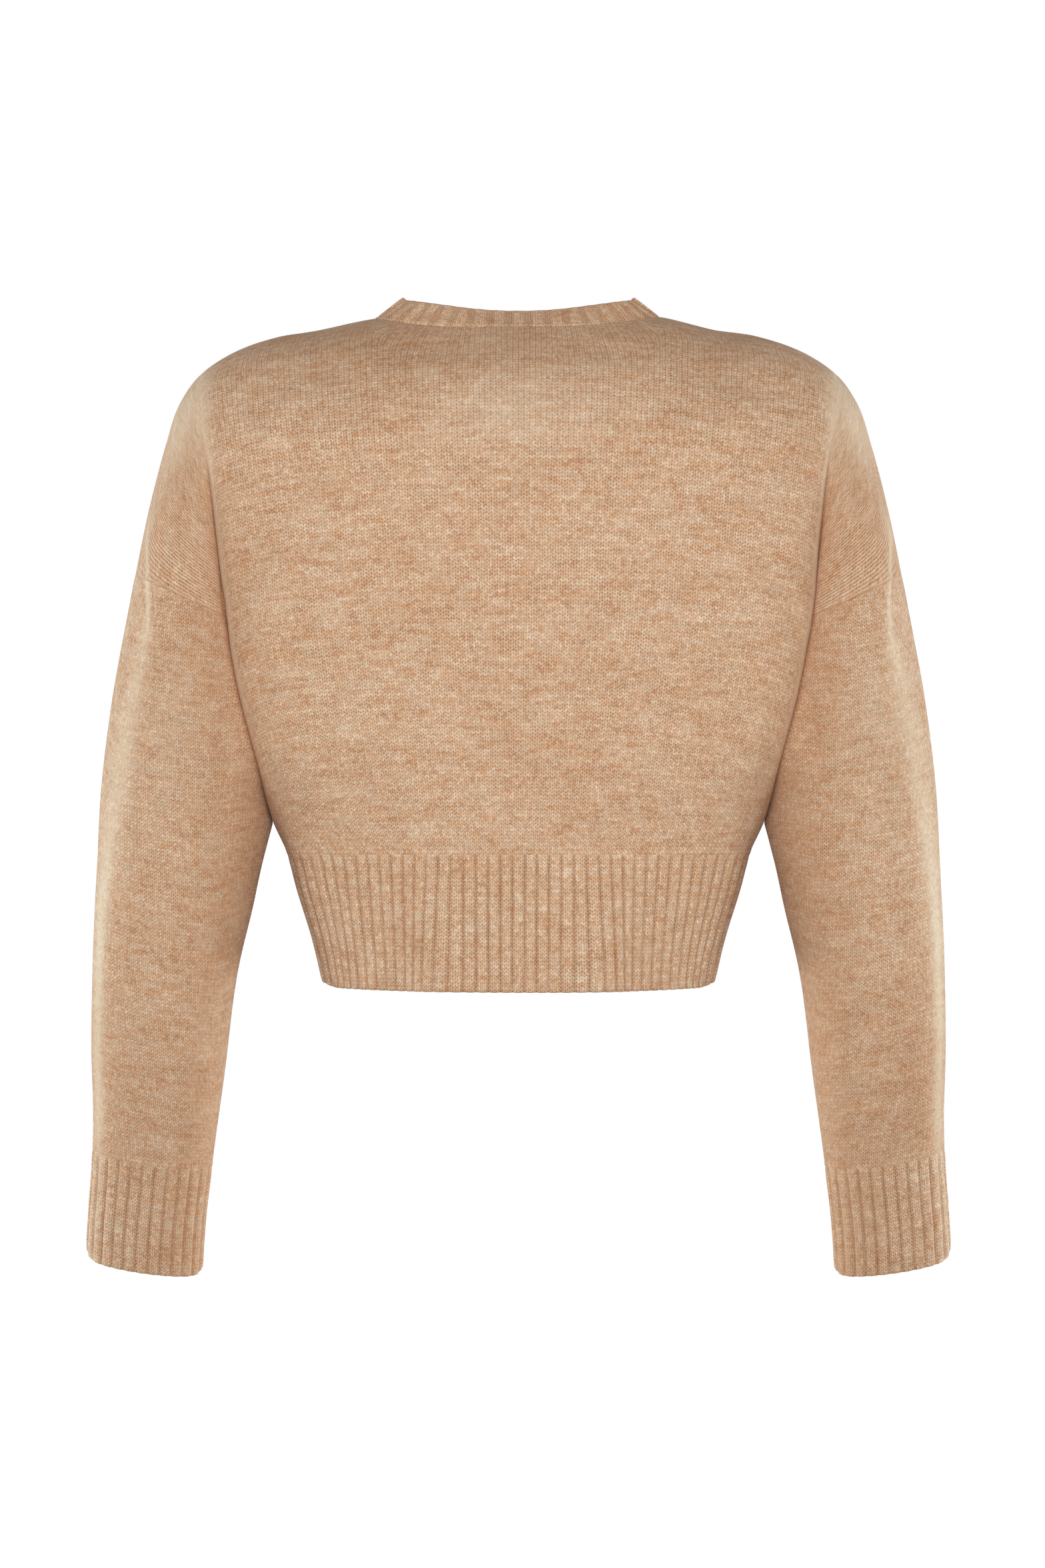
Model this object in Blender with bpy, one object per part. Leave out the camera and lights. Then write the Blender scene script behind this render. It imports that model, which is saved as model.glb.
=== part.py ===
"""A cropped, drop-shouldered V-neck cardigan in camel knit, buttoned, filled out as when worn.

Lengths are millimetres until a mesh is written. +X is the wearer's left, -Y the front, +Z up.
The origin is the middle of the neck, level with the high points of the shoulders, where the
garment hangs from its wearer. Every panel is a wall: its outer face lies on one form, its inner
face on the same form drawn in by the cloth's thickness, so pieces meet edge to edge at a seam.
"""
import math

import bmesh
import bpy
import mathutils
import numpy as np

MM = 0.001

# ---- cloth ----
KNIT = 2.4                        # thickness of the plain knit
RIB = 2.8                         # thickness of the ribbed hem, cuffs and band
SEAM = 0.3                        # gap between two pieces that are linked together

# ---- heights of the seams and edges ----
BACK_NECK = -4.0                  # neckband seam at the middle of the back
V_POINT = -226.0                  # where the neckline leaves the straight front edge
UNDERARM = -353.0
HEM_SEAM = -375.0                 # where the plain knit turns into the hem rib
HEM_SIDE, HEM_MIDDLE = -466.0, -471.0
ARMHOLE_FOLD = -208.0             # the armhole seam comes out of the underarm fold here
ARMHOLE_OUTER = -178.0            # and crosses the outside of the arm here
CUFF_SEAM, CUFF_END = -588.0, -668.0

# ---- neckline ----
SHOULDER_POINT = (101.0, 2.0)     # where shoulder seam and neckband meet: half width, height
BACK_NECK_POWER = 2.75            # how late the back neckline rises to the shoulder point
FRONT_NECK_CURVE = 0.08           # share of the front neckline's width gained near the shoulder
NECK_RIM = 0.9                    # how far, in thicknesses, the back neck's inner edge is lower

# ---- the band and its buttons ----
BAND = 24.0                       # width of the band round the neck and down the fronts
OVERLAP = BAND / 2                # the straight bands lie on each other, centred on the front
COLLAR_RISE = 26.0                # degrees the band stands up off the shoulder beside the neck
LAP_WIDTHS = (22.0, 87.0)         # half widths between which the lapped front comes to rest
LAP_HEIGHTS = (-166.0, -76.0)     # heights between which it does so up the neckline
BUTTONS = 5
TOP_BUTTON, BOTTOM_BUTTON = -222.0, -452.0
BUTTON_RADIUS, BUTTON_THICK = 9.0, 3.2
BUTTON_BEVEL, BUTTON_RIM, BUTTON_DISH = 0.9, 2.6, 0.8
BUTTON_LIFT = 0.5                 # clear of the band, where its thread shank is
HOLE_RADIUS, HOLE_SPACING = 0.95, 3.6

# ---- the form ----
# The outline seen from behind, from the middle of the neck over the shoulder and down the arm.
OUTLINE = (  # half width, height
    (0, 9), (55, 8), (101, 2), (139, -6), (170, -11), (190, -17), (207, -25), (225, -38),
    (239, -58), (249, -88), (260, -130), (270, -178), (277, -215), (287, -271), (294, -328),
    (297, -384), (300, -454), (301, -520), (300, -567), (301, -600), (304, -640), (306, -680),
)
# The trunk: its half width where the arm folds against it, its depth behind and before the
# shoulder line, and how far behind and before that line the bottom of the fold lies.
TRUNK_COLUMNS = ("height", "side", "back", "front", "fold_back", "fold_front")
TRUNK = (
    (20, 225, 108, 92, 66, 60),
    (-38, 225, 112, 96, 66, 60),
    (-74, 222, 114, 101, 65, 59),
    (-110, 217, 116, 107, 62, 56),
    (-160, 211, 116, 115, 56, 50),
    (-208, 206, 114, 120, 48, 42),
    (-260, 197, 110, 121, 35, 30),
    (-310, 184, 106, 117, 18, 15),
    (-353, 173, 102, 112, 0, 0),
    (-375, 163, 100, 108, 0, 0),
    (-400, 156, 98, 103, 0, 0),
    (-436, 145, 95, 97, 0, 0),
    (-475, 136, 92, 92, 0, 0),
)
# The arm: how far behind the shoulder line its middle lies, and its half depth.
ARM_COLUMNS = ("height", "middle", "depth")
ARM = (
    (20, 0, 60), (-60, 0, 66), (-110, 0, 68), (-160, 0, 68), (-208, 0, 66), (-260, 0, 63),
    (-310, 0, 59), (-353, 0, 56), (-384, 2, 52), (-412, 3, 49), (-454, 4, 45), (-525, -3, 38),
    (-588, -15, 31), (-630, -24, 27), (-680, -36, 25),
)
# The arm's side next to the trunk, from the underarm down.
ARM_INNER = (  # height, half width
    (-353, 173), (-384, 181), (-412, 187), (-454, 197), (-525, 207), (-588, 216), (-630, 221),
    (-680, 224),
)
TRUNK_SQUARENESS = 2.5            # 2 is an ellipse, more is boxier
FOLD_FADES = (-50.0, -170.0)      # heights between which the underarm fold deepens
BLEND = (-95.0, 15.0)             # distances from the fold between which the two depths blend
SHOULDER_ROUND = 105.0            # how far below the shoulder line the trunk is still rounding
CAP_ROUND = 52.0                  # the same beside the arm's outline
CAP_WIDTHS = (130.0, 240.0)       # half widths between which one passes into the other
FOLD_TURN = 0.66 * math.pi        # how far round the arm the armhole seam goes into the fold
FRONT_DIP = 60.0                  # how far the front's middle row dips, to pass below the V point
MOUTH_HEIGHTS = (-430.0, -600.0)  # heights between which the sleeve's rings turn with the cuff
CUFF_TILT, CUFF_LEAN = 0.14, 0.22 # slopes of the cuff's mouth, inwards and backwards

# ---- mesh density ----
NECK_COLUMNS, SHOULDER_COLUMNS, CAP_COLUMNS = 6, 7, 7
UPPER_ROWS, LOWER_ROWS, SIDE_ROWS = 8, 5, 2
ARM_ROWS, CUFF_ROWS, HEM_ROWS = 10, 3, 3
BAND_COLUMNS, BUTTON_SIDES, HOLE_SIDES = 2, 24, 8
OUTLINE_STEPS = 500
SHARP = math.radians(50)          # edges sharper than this aren't shaded smooth


# ---- curves ----
def smooth_step(start, end, x):
    t = np.clip((x - start) / (end - start), 0.0, 1.0)
    return t * t * (3 - 2 * t)


def through(knots, values, x):
    """A smooth curve through the knots: cubic spans whose slopes are those of the chords beside."""
    knots, values = np.asarray(knots, float), np.asarray(values, float)
    slopes = np.gradient(values, knots)
    x = np.clip(x, knots[0], knots[-1])
    i = np.clip(np.searchsorted(knots, x) - 1, 0, len(knots) - 2)
    span = knots[i + 1] - knots[i]
    t = (x - knots[i]) / span
    rise = values[i + 1] - values[i]
    a, b = slopes[i] * span - rise, -slopes[i + 1] * span + rise
    return values[i] + t * rise + t * (1 - t) * (a * (1 - t) + b * t)


def at_height(table, column, z):
    rows = table[::-1]
    return through([row[0] for row in rows], [row[column] for row in rows], z)


def trunk(name, z):
    return at_height(TRUNK, TRUNK_COLUMNS.index(name), z)


def arm(name, z):
    return at_height(ARM, ARM_COLUMNS.index(name), z)


def arm_inner(z):
    """The arm's inner side: it lies against the trunk as far down as the underarm."""
    return np.where(z > UNDERARM, trunk("side", z), at_height(ARM_INNER, 1, z))


def outline(inset=0.0):
    """The outline as a fine line, drawn in by inset: arrays of half width and height."""
    points = np.array(OUTLINE, float)
    along = np.concatenate([[0], np.cumsum(np.hypot(*np.diff(points, axis=0).T))])
    fine = np.linspace(0, along[-1], OUTLINE_STEPS)
    x, z = through(along, points[:, 0], fine), through(along, points[:, 1], fine)
    dx, dz = np.gradient(x), np.gradient(z)
    size = np.hypot(dx, dz)
    return x + inset * dz / size, z - inset * dx / size


def outline_height(x, inset=0.0):
    """Height of the shoulder line over a half width x, as far out as the fold."""
    line_x, line_z = outline(inset)
    top = line_x < trunk("side", 0.0) + SHOULDER_ROUND / 10
    return np.interp(x, line_x[top], line_z[top])


def outline_reach(z, inset=0.0):
    """Half width of the arm's outer side at height z."""
    line_x, line_z = outline(inset)
    side = line_x > CAP_WIDTHS[1] * 0.75
    return np.interp(-z, -line_z[side], line_x[side])


def inside(x, z):
    """Distance of each point from the outline, measured to its short straight segments."""
    line_x, line_z = outline()
    step_x, step_z = np.diff(line_x), np.diff(line_z)
    from_x = np.reshape(x, (-1, 1)) - line_x[:-1]
    from_z = np.reshape(z, (-1, 1)) - line_z[:-1]
    share = np.clip((from_x * step_x + from_z * step_z) / (step_x**2 + step_z**2), 0, 1)
    away = np.hypot(from_x - share * step_x, from_z - share * step_z)
    return away.min(1).reshape(np.shape(x))


# ---- the form: its depth over every point of the view from behind, or from before ----
def fold_closed(z):
    """0 where arm and trunk are one smooth surface, 1 where the arm lies folded against the trunk."""
    return smooth_step(*FOLD_FADES, z)


def depth(x, z, face, on_arm, inset=0.0):
    """How far the form lies behind (face 1) or before (face -1) the middle plane at x, z."""
    side = trunk("side", z)
    body = trunk("back" if face > 0 else "front", z) - inset
    fold = trunk("fold_back" if face > 0 else "fold_front", z)
    limb = arm("depth", z) - inset
    inner = arm_inner(z)
    half = (outline_reach(z) - inner) / 2
    if on_arm:
        rise = 1 - np.clip((x - inner - inset) / (half - inset), 0, 1)
        folded = fold + (limb - fold) * np.sqrt(1 - rise**2)
    else:
        across = np.clip(x / (side - inset), 0, 1)
        folded = fold + (body - fold) * (1 - across**TRUNK_SQUARENESS) ** (1 / TRUNK_SQUARENESS)
    smooth = body + (limb - body) * smooth_step(side + BLEND[0], side + BLEND[1], x)
    closed = fold_closed(z)
    base = smooth + closed * (folded - smooth)
    width = SHOULDER_ROUND + (CAP_ROUND - SHOULDER_ROUND) * smooth_step(*CAP_WIDTHS, x)
    width = width + closed * (half - width)
    edge = np.clip((width - inside(x, z)) / (width - inset), 0, 1)
    return base * np.sqrt(1 - edge**2)


def on_form(x, z, face, on_arm, inset=0.0):
    """Points of the form; those on the shoulder or side seam keep half the seam's gap."""
    middle = arm("middle", z) if on_arm else 0.0
    y = middle + face * np.maximum(depth(x, z, face, on_arm, inset), SEAM / 2)
    return np.stack([x, y, z], -1)


def on_ridge(points, face):
    """The same points, lying half the seam's gap from the middle plane."""
    points = points.copy()
    points[..., 1] = face * SEAM / 2
    return points


def form_slopes(x, z, face):
    """How the trunk's depth grows with x and with z."""
    step = 0.5
    dx = depth(x + step, z, face, False) - depth(x - step, z, face, False)
    dz = depth(x, z + step, face, False) - depth(x, z - step, face, False)
    return np.stack([dx, dz], -1) / (2 * step)


# ---- body panels ----
def middle_edge(face):
    """Half width at which a body panel starts: the middle of the back, or the front band's seam."""
    return 0.0 if face > 0 else OVERLAP + SEAM


def neckline_back(x):
    """Height of the back neckline over half width x."""
    return BACK_NECK + (SHOULDER_POINT[1] - BACK_NECK) * (x / SHOULDER_POINT[0]) ** BACK_NECK_POWER


def neckline_front(z):
    """Half width of the front neckline at height z: straight from the V point, then rounding."""
    up = np.clip((z - V_POINT) / (SHOULDER_POINT[1] - V_POINT), 0, 1)
    start = middle_edge(-1)
    curved = (1 - FRONT_NECK_CURVE) * up + FRONT_NECK_CURVE * up**4
    return start + (SHOULDER_POINT[0] - start) * curved


def columns(face):
    """Shares of the way from the middle to the fold; they crowd towards the shoulder point."""
    start = middle_edge(face)
    share = (SHOULDER_POINT[0] - start) / (trunk("side", 0.0) - start)
    neck = 2 / math.pi * np.arcsin(share * np.sin(np.linspace(0, math.pi / 2, NECK_COLUMNS + 1)))
    return np.concatenate([neck[:-1], np.linspace(neck[-1], 1, SHOULDER_COLUMNS + 1)])


def column_x(t, z, face, inset=0.0):
    """Half width of column t at height z; columns crowd towards the fold, where the cloth turns in."""
    start = middle_edge(face)
    side = trunk("side", z) - inset * fold_closed(z)
    return start + (side - start) * np.sin(t * math.pi / 2)


def top_edge(t, face, inset=0.0):
    """Height at which each column ends: on the neckline, or on the shoulder seam."""
    x = column_x(t, np.zeros_like(t), face)
    edge = outline_height(x, inset)
    neck = slice(0, NECK_COLUMNS)
    if face > 0:
        edge[neck] = neckline_back(x[neck]) - NECK_RIM * inset
        return edge
    z = np.linspace(V_POINT, SHOULDER_POINT[1], OUTLINE_STEPS)
    start = middle_edge(face)
    share = np.clip((neckline_front(z) - start) / (trunk("side", z) - start), 0, 1)
    edge[neck] = np.interp(t[neck], 2 / math.pi * np.arcsin(share), z)
    edge[neck] -= inset * (x[neck] / SHOULDER_POINT[0]) ** 4
    return edge


def fold_row(t, face):
    """Height of the row that ends where the armhole seam leaves the fold."""
    if face > 0:
        return np.full_like(t, ARMHOLE_FOLD)
    x = column_x(t, np.full_like(t, ARMHOLE_FOLD), face)
    return ARMHOLE_FOLD - FRONT_DIP * (1 - smooth_step(OVERLAP, SHOULDER_POINT[0], x))


def upper_rows():
    """Shares of the way down from the top edge, close together where the shoulder rounds over."""
    return 1 - np.cos(np.linspace(0, 1, UPPER_ROWS + 1) * math.pi / 2)


def trunk_grid(face, inset=0.0):
    """Rows of points from the hem seam up to the top edge, from the middle out to the fold."""
    t = columns(face)
    top = top_edge(t, face, inset)
    middle = fold_row(t, face)
    upper = [top + (middle - top) * share for share in upper_rows()[::-1]]
    low = np.concatenate([
        np.linspace(HEM_SEAM + SEAM / 2, UNDERARM, SIDE_ROWS + 1)[:-1],
        np.linspace(UNDERARM, ARMHOLE_FOLD, LOWER_ROWS + 1)[:-1],
    ])
    share = (low - HEM_SEAM) / (ARMHOLE_FOLD - HEM_SEAM)
    z = np.array([HEM_SEAM + (middle - HEM_SEAM) * s for s in share] + upper)
    points = on_form(column_x(t, z, face, inset), z, face, False, inset)
    if inset:
        round_the_fold(points, face, inset)
    points[..., 0] -= SEAM / 2 * t
    points[-1, NECK_COLUMNS:] = on_ridge(points[-1, NECK_COLUMNS:], face)
    return points


def round_the_fold(points, face, inset):
    """Where trunk and drop shoulder are one cloth, its inner face runs round the fold's bottom."""
    fold = points[:, -1, 2] > ARMHOLE_FOLD - 1
    z = points[fold, -1, 2]
    side = trunk("side", z)
    bottom = on_form(side, z, face, False)[:, 1] - face * inset
    plain = points[fold, -1, 1]
    points[fold, -1, 0] = side
    points[fold, -1, 1] = plain + (bottom - plain) * fold_closed(z)


def cap_grid(face, inset=0.0):
    """The drop shoulder: rows run with the knit from the fold over the arm to its outer side."""
    fold_edge = trunk_grid(face, inset)[-UPPER_ROWS - 1:, -1]
    apex = fold_edge[-1, 2]
    share = upper_rows()[::-1, None]
    fold_z = fold_edge[:, 2:]
    outer_z = apex + (ARMHOLE_OUTER - apex) * share
    across = (1 - np.cos(np.linspace(0, 1, CAP_COLUMNS + 1) * math.pi)) / 2
    z = fold_z + (outer_z - fold_z) * across
    inner = trunk("side", z) + inset * fold_closed(z)
    x = inner + (np.maximum(outline_reach(z, inset), inner) - inner) * across
    points = on_form(x, z, face, True, inset)
    points[:, -1] = on_ridge(points[:, -1], face)
    points[:, 0] = fold_edge
    points[-1] = fold_edge[-1]
    return points


def hem_grid(face, inset=0.0):
    """Rows of points from the hem seam down to the hem, which dips a little in the middle."""
    t = columns(face)
    side = trunk("side", HEM_SEAM)
    dip = 1 - (column_x(t, np.full_like(t, HEM_SEAM), face) / side) ** 2
    end = HEM_SIDE + (HEM_MIDDLE - HEM_SIDE) * dip
    share = np.linspace(0, 1, HEM_ROWS + 1)[:, None]
    z = HEM_SEAM - SEAM / 2 + (end - HEM_SEAM) * share
    points = on_form(column_x(t, z, face, inset), z, face, False, inset)
    points[:, -1] = on_ridge(points[:, -1], face)
    return points


# ---- sleeves ----
def turns():
    """Angles round the arm, 0 outside and pi at the underarm; the body panels' columns meet them."""
    over = np.linspace(0, FOLD_TURN, CAP_COLUMNS + 1)
    into = np.linspace(FOLD_TURN, math.pi, LOWER_ROWS + 1)[1:]
    half = np.concatenate([over, into])
    return np.concatenate([-half[::-1], half[1:-1]])


def armhole(turn):
    """Height of the armhole seam at an angle round the arm."""
    turn = np.abs(turn)
    over = (1 + np.cos(np.clip(turn / FOLD_TURN, 0, 1) * math.pi)) / 2
    down = np.clip((turn - FOLD_TURN) / (math.pi - FOLD_TURN), 0, 1)
    return ARMHOLE_FOLD + (ARMHOLE_OUTER - ARMHOLE_FOLD) * over + (UNDERARM - ARMHOLE_FOLD) * down


def sleeve_points(turn, z, inset=0.0):
    """The sleeve's points at angles and heights; above the underarm it is open to the trunk."""
    down = np.clip((ARMHOLE_FOLD - z) / (ARMHOLE_FOLD - UNDERARM), 0, 1)
    widest = FOLD_TURN + (math.pi - FOLD_TURN) * down
    share = np.clip(np.abs(turn) / widest, 0, 1)
    across = (1 + np.cos(share * math.pi)) / 2
    inner = arm_inner(z) + inset
    x = inner + (outline_reach(z, inset) - inner) * across
    back = on_form(x, z, 1, True, inset)
    front = on_form(x, z, -1, True, inset)
    points = np.where((turn >= 0)[..., None], back, front)
    points[..., 0] += SEAM / 2 * (1 - across)
    seam = (across > 1 - 1e-9) | ((across < 1e-9) & (z <= UNDERARM))
    points[..., 1] = np.where(seam, arm("middle", z), points[..., 1])
    mouth = smooth_step(*MOUTH_HEIGHTS, z)
    centre = (inner + outline_reach(z)) / 2
    points[..., 2] += mouth * CUFF_TILT * (points[..., 0] - centre)
    points[..., 2] -= mouth * CUFF_LEAN * (points[..., 1] - arm("middle", z))
    return points


def sleeve_grid(inset=0.0):
    """Rings of points from the armhole seam down to the cuff's seam."""
    turn = turns()
    top = armhole(turn)
    share = np.linspace(0, 1, ARM_ROWS + 1)[:, None]
    z = top + (CUFF_SEAM + SEAM / 2 - top) * share
    points = sleeve_points(turn + 0 * z, z, inset)
    points[0, :, 2] -= SEAM
    return points


def cuff_grid(inset=0.0):
    """Rings of points from the cuff's seam down to its mouth."""
    z = np.linspace(CUFF_SEAM - SEAM / 2, CUFF_END, CUFF_ROWS + 1)[:, None] + 0 * turns()
    return sleeve_points(turns() + 0 * z, z, inset)


# ---- the band round the neck and down the fronts ----
def unit(v):
    return v / np.linalg.norm(v, axis=-1, keepdims=True)


def mirrored(points):
    return points * np.array([-1.0, 1.0, 1.0]) + 0.0


def lapped(points):
    """The front that lies on top, moved out by a thickness near the middle to clear the other."""
    near = 1 - smooth_step(*LAP_WIDTHS, points[..., 0])
    low = 1 - smooth_step(*LAP_HEIGHTS, points[..., 2])
    out = points.copy()
    out[..., 1] -= (RIB + 2 * SEAM) * near * low
    return out


def band_seam():
    """The left half of the band's seam: the middle of the back, the shoulder, down to the hem."""
    back, front = trunk_grid(1), trunk_grid(-1)
    shoulder = back[-1:, NECK_COLUMNS] * np.array([1.0, 0.0, 1.0])
    return np.concatenate([
        back[-1, :NECK_COLUMNS],
        shoulder,
        front[-1, :NECK_COLUMNS][::-1],
        front[:-1, 0][::-1],
        hem_grid(-1)[1:, 0],
    ])


def seam_normals(seam):
    """Outward normals of the form along the band's seam."""
    order = np.arange(len(seam))
    face = np.where(order <= NECK_COLUMNS, 1.0, -1.0)
    back, front = (form_slopes(seam[:, 0], seam[:, 2], side) for side in (1, -1))
    slope = np.where((face > 0)[:, None], back, front)
    normals = np.stack([-slope[:, 0], face, -slope[:, 1]], -1)
    line_x, line_z = outline()
    nearest = np.abs(line_x - SHOULDER_POINT[0]).argmin()
    run, fall = line_x[nearest + 1] - line_x[nearest], line_z[nearest + 1] - line_z[nearest]
    normals[NECK_COLUMNS] = (-fall, 0.0, run)
    return unit(normals)


def band_half(side, inset=0.0):
    """Half the band: straight across from its seam, tangent to the form, raised beside the neck."""
    seam = band_seam()
    along = np.gradient(seam, axis=0)
    along[0] = (1.0, 0.0, 0.0)
    along = unit(along)
    normal = seam_normals(seam)
    normal = unit(normal - (normal * along).sum(-1, keepdims=True) * along)
    inward = np.cross(along, normal)
    from_shoulder = np.abs(np.arange(len(seam)) - NECK_COLUMNS) / NECK_COLUMNS
    rise = (math.radians(COLLAR_RISE) * smooth_step(1, 0, from_shoulder))[:, None]
    lean = inward * np.cos(rise) + normal * np.sin(rise)
    facing = normal * np.cos(rise) - inward * np.sin(rise)
    across = np.linspace(SEAM, BAND, BAND_COLUMNS + 1)[:, None, None]
    points = seam + across * lean - inset * facing
    return points if side > 0 else mirrored(lapped(points))


def band_grid(inset=0.0):
    """The whole band in one strip: up the left front, round the neck, down the right front."""
    left, right = band_half(1, inset), band_half(-1, inset)
    middle = (left[:, :1] + right[:, :1]) / 2
    return np.concatenate([left[:, :0:-1], middle, right[:, 1:]], axis=1)


# ---- solids ----
def material(name, colour, roughness):
    made = bpy.data.materials.new(name)
    made.use_nodes = True
    shader = made.node_tree.nodes["Principled BSDF"]
    shader.inputs["Base Color"].default_value = (*colour, 1.0)
    shader.inputs["Roughness"].default_value = roughness
    shader.inputs["Metallic"].default_value = 0.0
    made.diffuse_color = (*colour, 1.0)
    return made


def add_object(name, mesh, finish):
    mesh.shade_smooth()
    mesh.set_sharp_from_angle(angle=SHARP)
    mesh.materials.append(finish)
    made = bpy.data.objects.new(name, mesh)
    bpy.context.scene.collection.objects.link(made)
    return made


def grid_faces(rows, cols, first, closed):
    """Quads over a grid of points numbered from first; a closed grid joins its last column on."""
    faces = []
    for i in range(rows - 1):
        for j in range(cols if closed else cols - 1):
            k = (j + 1) % cols
            corners = (i * cols + j, i * cols + k, (i + 1) * cols + k, (i + 1) * cols + j)
            faces.append([first + corner for corner in corners])
    return faces


def rim_edges(faces):
    """Edges that belong to one face only, each in that face's direction."""
    pairs = [pair for face in faces for pair in zip(face, face[1:] + face[:1])]
    seen = set(pairs)
    return [(a, b) for a, b in pairs if (b, a) not in seen]


def wall(name, sheets, finish, closed=False):
    """A closed wall from sheets of (outer grid, inner grid), welded where the outer grids meet."""
    outer = np.concatenate([sheet[0].reshape(-1, 3) for sheet in sheets])
    inner = np.concatenate([sheet[1].reshape(-1, 3) for sheet in sheets])
    faces = []
    first = 0
    for points, _, flip in sheets:
        rows, cols = points.shape[:2]
        made = grid_faces(rows, cols, first, closed)
        faces += [face[::-1] for face in made] if flip else made
        first += rows * cols
    _, kept, same = np.unique(np.round(outer, 3), axis=0, return_index=True, return_inverse=True)
    loops = [[int(v) for v in same.reshape(-1)[face]] for face in faces]
    loops = [[v for i, v in enumerate(loop) if v != loop[i - 1]] for loop in loops]
    loops = [loop for loop in loops if len(loop) > 2]
    count = len(kept)
    inside_faces = [[v + count for v in loop[::-1]] for loop in loops]
    rim = [[b, a, a + count, b + count] for a, b in rim_edges(loops)]
    mesh = bpy.data.meshes.new(name)
    points = np.concatenate([outer[kept], inner[kept]]) * MM
    mesh.from_pydata(points.tolist(), [], loops + inside_faces + rim)
    shell = bmesh.new()
    shell.from_mesh(mesh)
    bmesh.ops.recalc_face_normals(shell, faces=shell.faces)
    bmesh.ops.triangulate(shell, faces=shell.faces)
    shell.to_mesh(mesh)
    shell.free()
    return add_object(name, mesh, finish)


def panel(name, grids, face, sides, thickness, finish, on_top=False):
    """A back or front piece: one or more grids, on one or both sides of the middle."""
    sheets = []
    for side in sides:
        for grid in grids:
            pair = [grid(face), grid(face, thickness)]
            if on_top:
                pair = [lapped(points) for points in pair]
            if side < 0:
                pair = [mirrored(points) for points in pair]
            sheets.append((*pair, side * face < 0))
    return wall(name, sheets, finish)


def tube(name, grid, side, thickness, finish):
    """A sleeve or cuff."""
    pair = [grid(), grid(thickness)]
    if side < 0:
        pair = [mirrored(points) for points in pair]
    return wall(name, [(*pair, side < 0)], finish, closed=True)


def button_place(centre_z):
    """Where a button lies: on the upper band, square to it."""
    x, z = np.array([0.0]), np.array([centre_z])
    out = depth(x, z, -1, False)[0] + RIB + 2 * SEAM + BUTTON_LIFT
    tilt = math.atan(form_slopes(x, z, -1)[0, 1])
    turn = mathutils.Matrix.Rotation(math.pi / 2 + tilt, 4, "X")
    return mathutils.Matrix.Translation((0, -out * MM, centre_z * MM)) @ turn


def button_disc(name):
    """The button's dished disc, built by turning its profile."""
    dish = BUTTON_RADIUS - BUTTON_RIM
    profile = (
        (BUTTON_RADIUS - BUTTON_BEVEL, 0.0),
        (BUTTON_RADIUS, BUTTON_BEVEL),
        (BUTTON_RADIUS, BUTTON_THICK - BUTTON_BEVEL),
        (BUTTON_RADIUS - BUTTON_BEVEL, BUTTON_THICK),
        (dish, BUTTON_THICK),
        (dish - BUTTON_BEVEL, BUTTON_THICK - BUTTON_DISH),
    )
    disc = bmesh.new()
    rings = []
    for radius, rise in profile:
        angles = np.arange(BUTTON_SIDES) * 2 * math.pi / BUTTON_SIDES
        ring = [(radius * math.cos(a) * MM, radius * math.sin(a) * MM, rise * MM) for a in angles]
        rings.append([disc.verts.new(point) for point in ring])
    for low, high in zip(rings, rings[1:]):
        for i in range(BUTTON_SIDES):
            k = (i + 1) % BUTTON_SIDES
            disc.faces.new((low[i], low[k], high[k], high[i]))
    disc.faces.new(rings[0][::-1])
    disc.faces.new(rings[-1])
    mesh = bpy.data.meshes.new(name)
    disc.to_mesh(mesh)
    disc.free()
    return mesh


def hole_cutter(name, x, y):
    """A drill through the button for one thread hole."""
    drill = bmesh.new()
    bmesh.ops.create_cone(
        drill, cap_ends=True, segments=HOLE_SIDES, radius1=HOLE_RADIUS * MM,
        radius2=HOLE_RADIUS * MM, depth=3 * BUTTON_THICK * MM,
        matrix=mathutils.Matrix.Translation((x * MM, y * MM, 0)),
    )
    mesh = bpy.data.meshes.new(name)
    drill.to_mesh(mesh)
    drill.free()
    cutter = bpy.data.objects.new(name, mesh)
    cutter.hide_render = True
    cutter.display_type = "WIRE"
    bpy.context.scene.collection.objects.link(cutter)
    return cutter


def button(name, centre_z, finish):
    made = add_object(name, button_disc(name), finish)
    made.matrix_world = button_place(centre_z)
    for i, (across, up) in enumerate(((1, 1), (1, -1), (-1, 1), (-1, -1))):
        half = HOLE_SPACING / 2
        cutter = hole_cutter(f"{name}_hole_{i}", across * half, up * half)
        cutter.matrix_world = made.matrix_world
        cut = made.modifiers.new(f"hole_{i}", "BOOLEAN")
        cut.operation = "DIFFERENCE"
        cut.solver = "EXACT"
        cut.object = cutter


def main():
    for old in list(bpy.data.objects):
        bpy.data.objects.remove(old)
    knit = material("camel_knit", (0.60, 0.39, 0.24), 0.95)
    ribbed = material("camel_rib", (0.54, 0.34, 0.205), 0.95)
    resin = material("brown_button", (0.23, 0.12, 0.06), 0.35)
    body = (trunk_grid, cap_grid)
    hem = (hem_grid,)
    panel("back", body, 1, (1, -1), KNIT, knit)
    panel("front_left", body, -1, (1,), KNIT, knit)
    panel("front_right", body, -1, (-1,), KNIT, knit, on_top=True)
    panel("hem_rib_back", hem, 1, (1, -1), RIB, ribbed)
    panel("hem_rib_front_left", hem, -1, (1,), RIB, ribbed)
    panel("hem_rib_front_right", hem, -1, (-1,), RIB, ribbed, on_top=True)
    for side, word in ((1, "left"), (-1, "right")):
        tube(f"sleeve_{word}", sleeve_grid, side, KNIT, knit)
        tube(f"cuff_{word}", cuff_grid, side, RIB, ribbed)
    wall("neck_and_front_band", [(band_grid(), band_grid(RIB), False)], ribbed)
    for i, z in enumerate(np.linspace(TOP_BUTTON, BOTTOM_BUTTON, BUTTONS)):
        button(f"button_{i + 1}", z, resin)


main()
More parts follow.
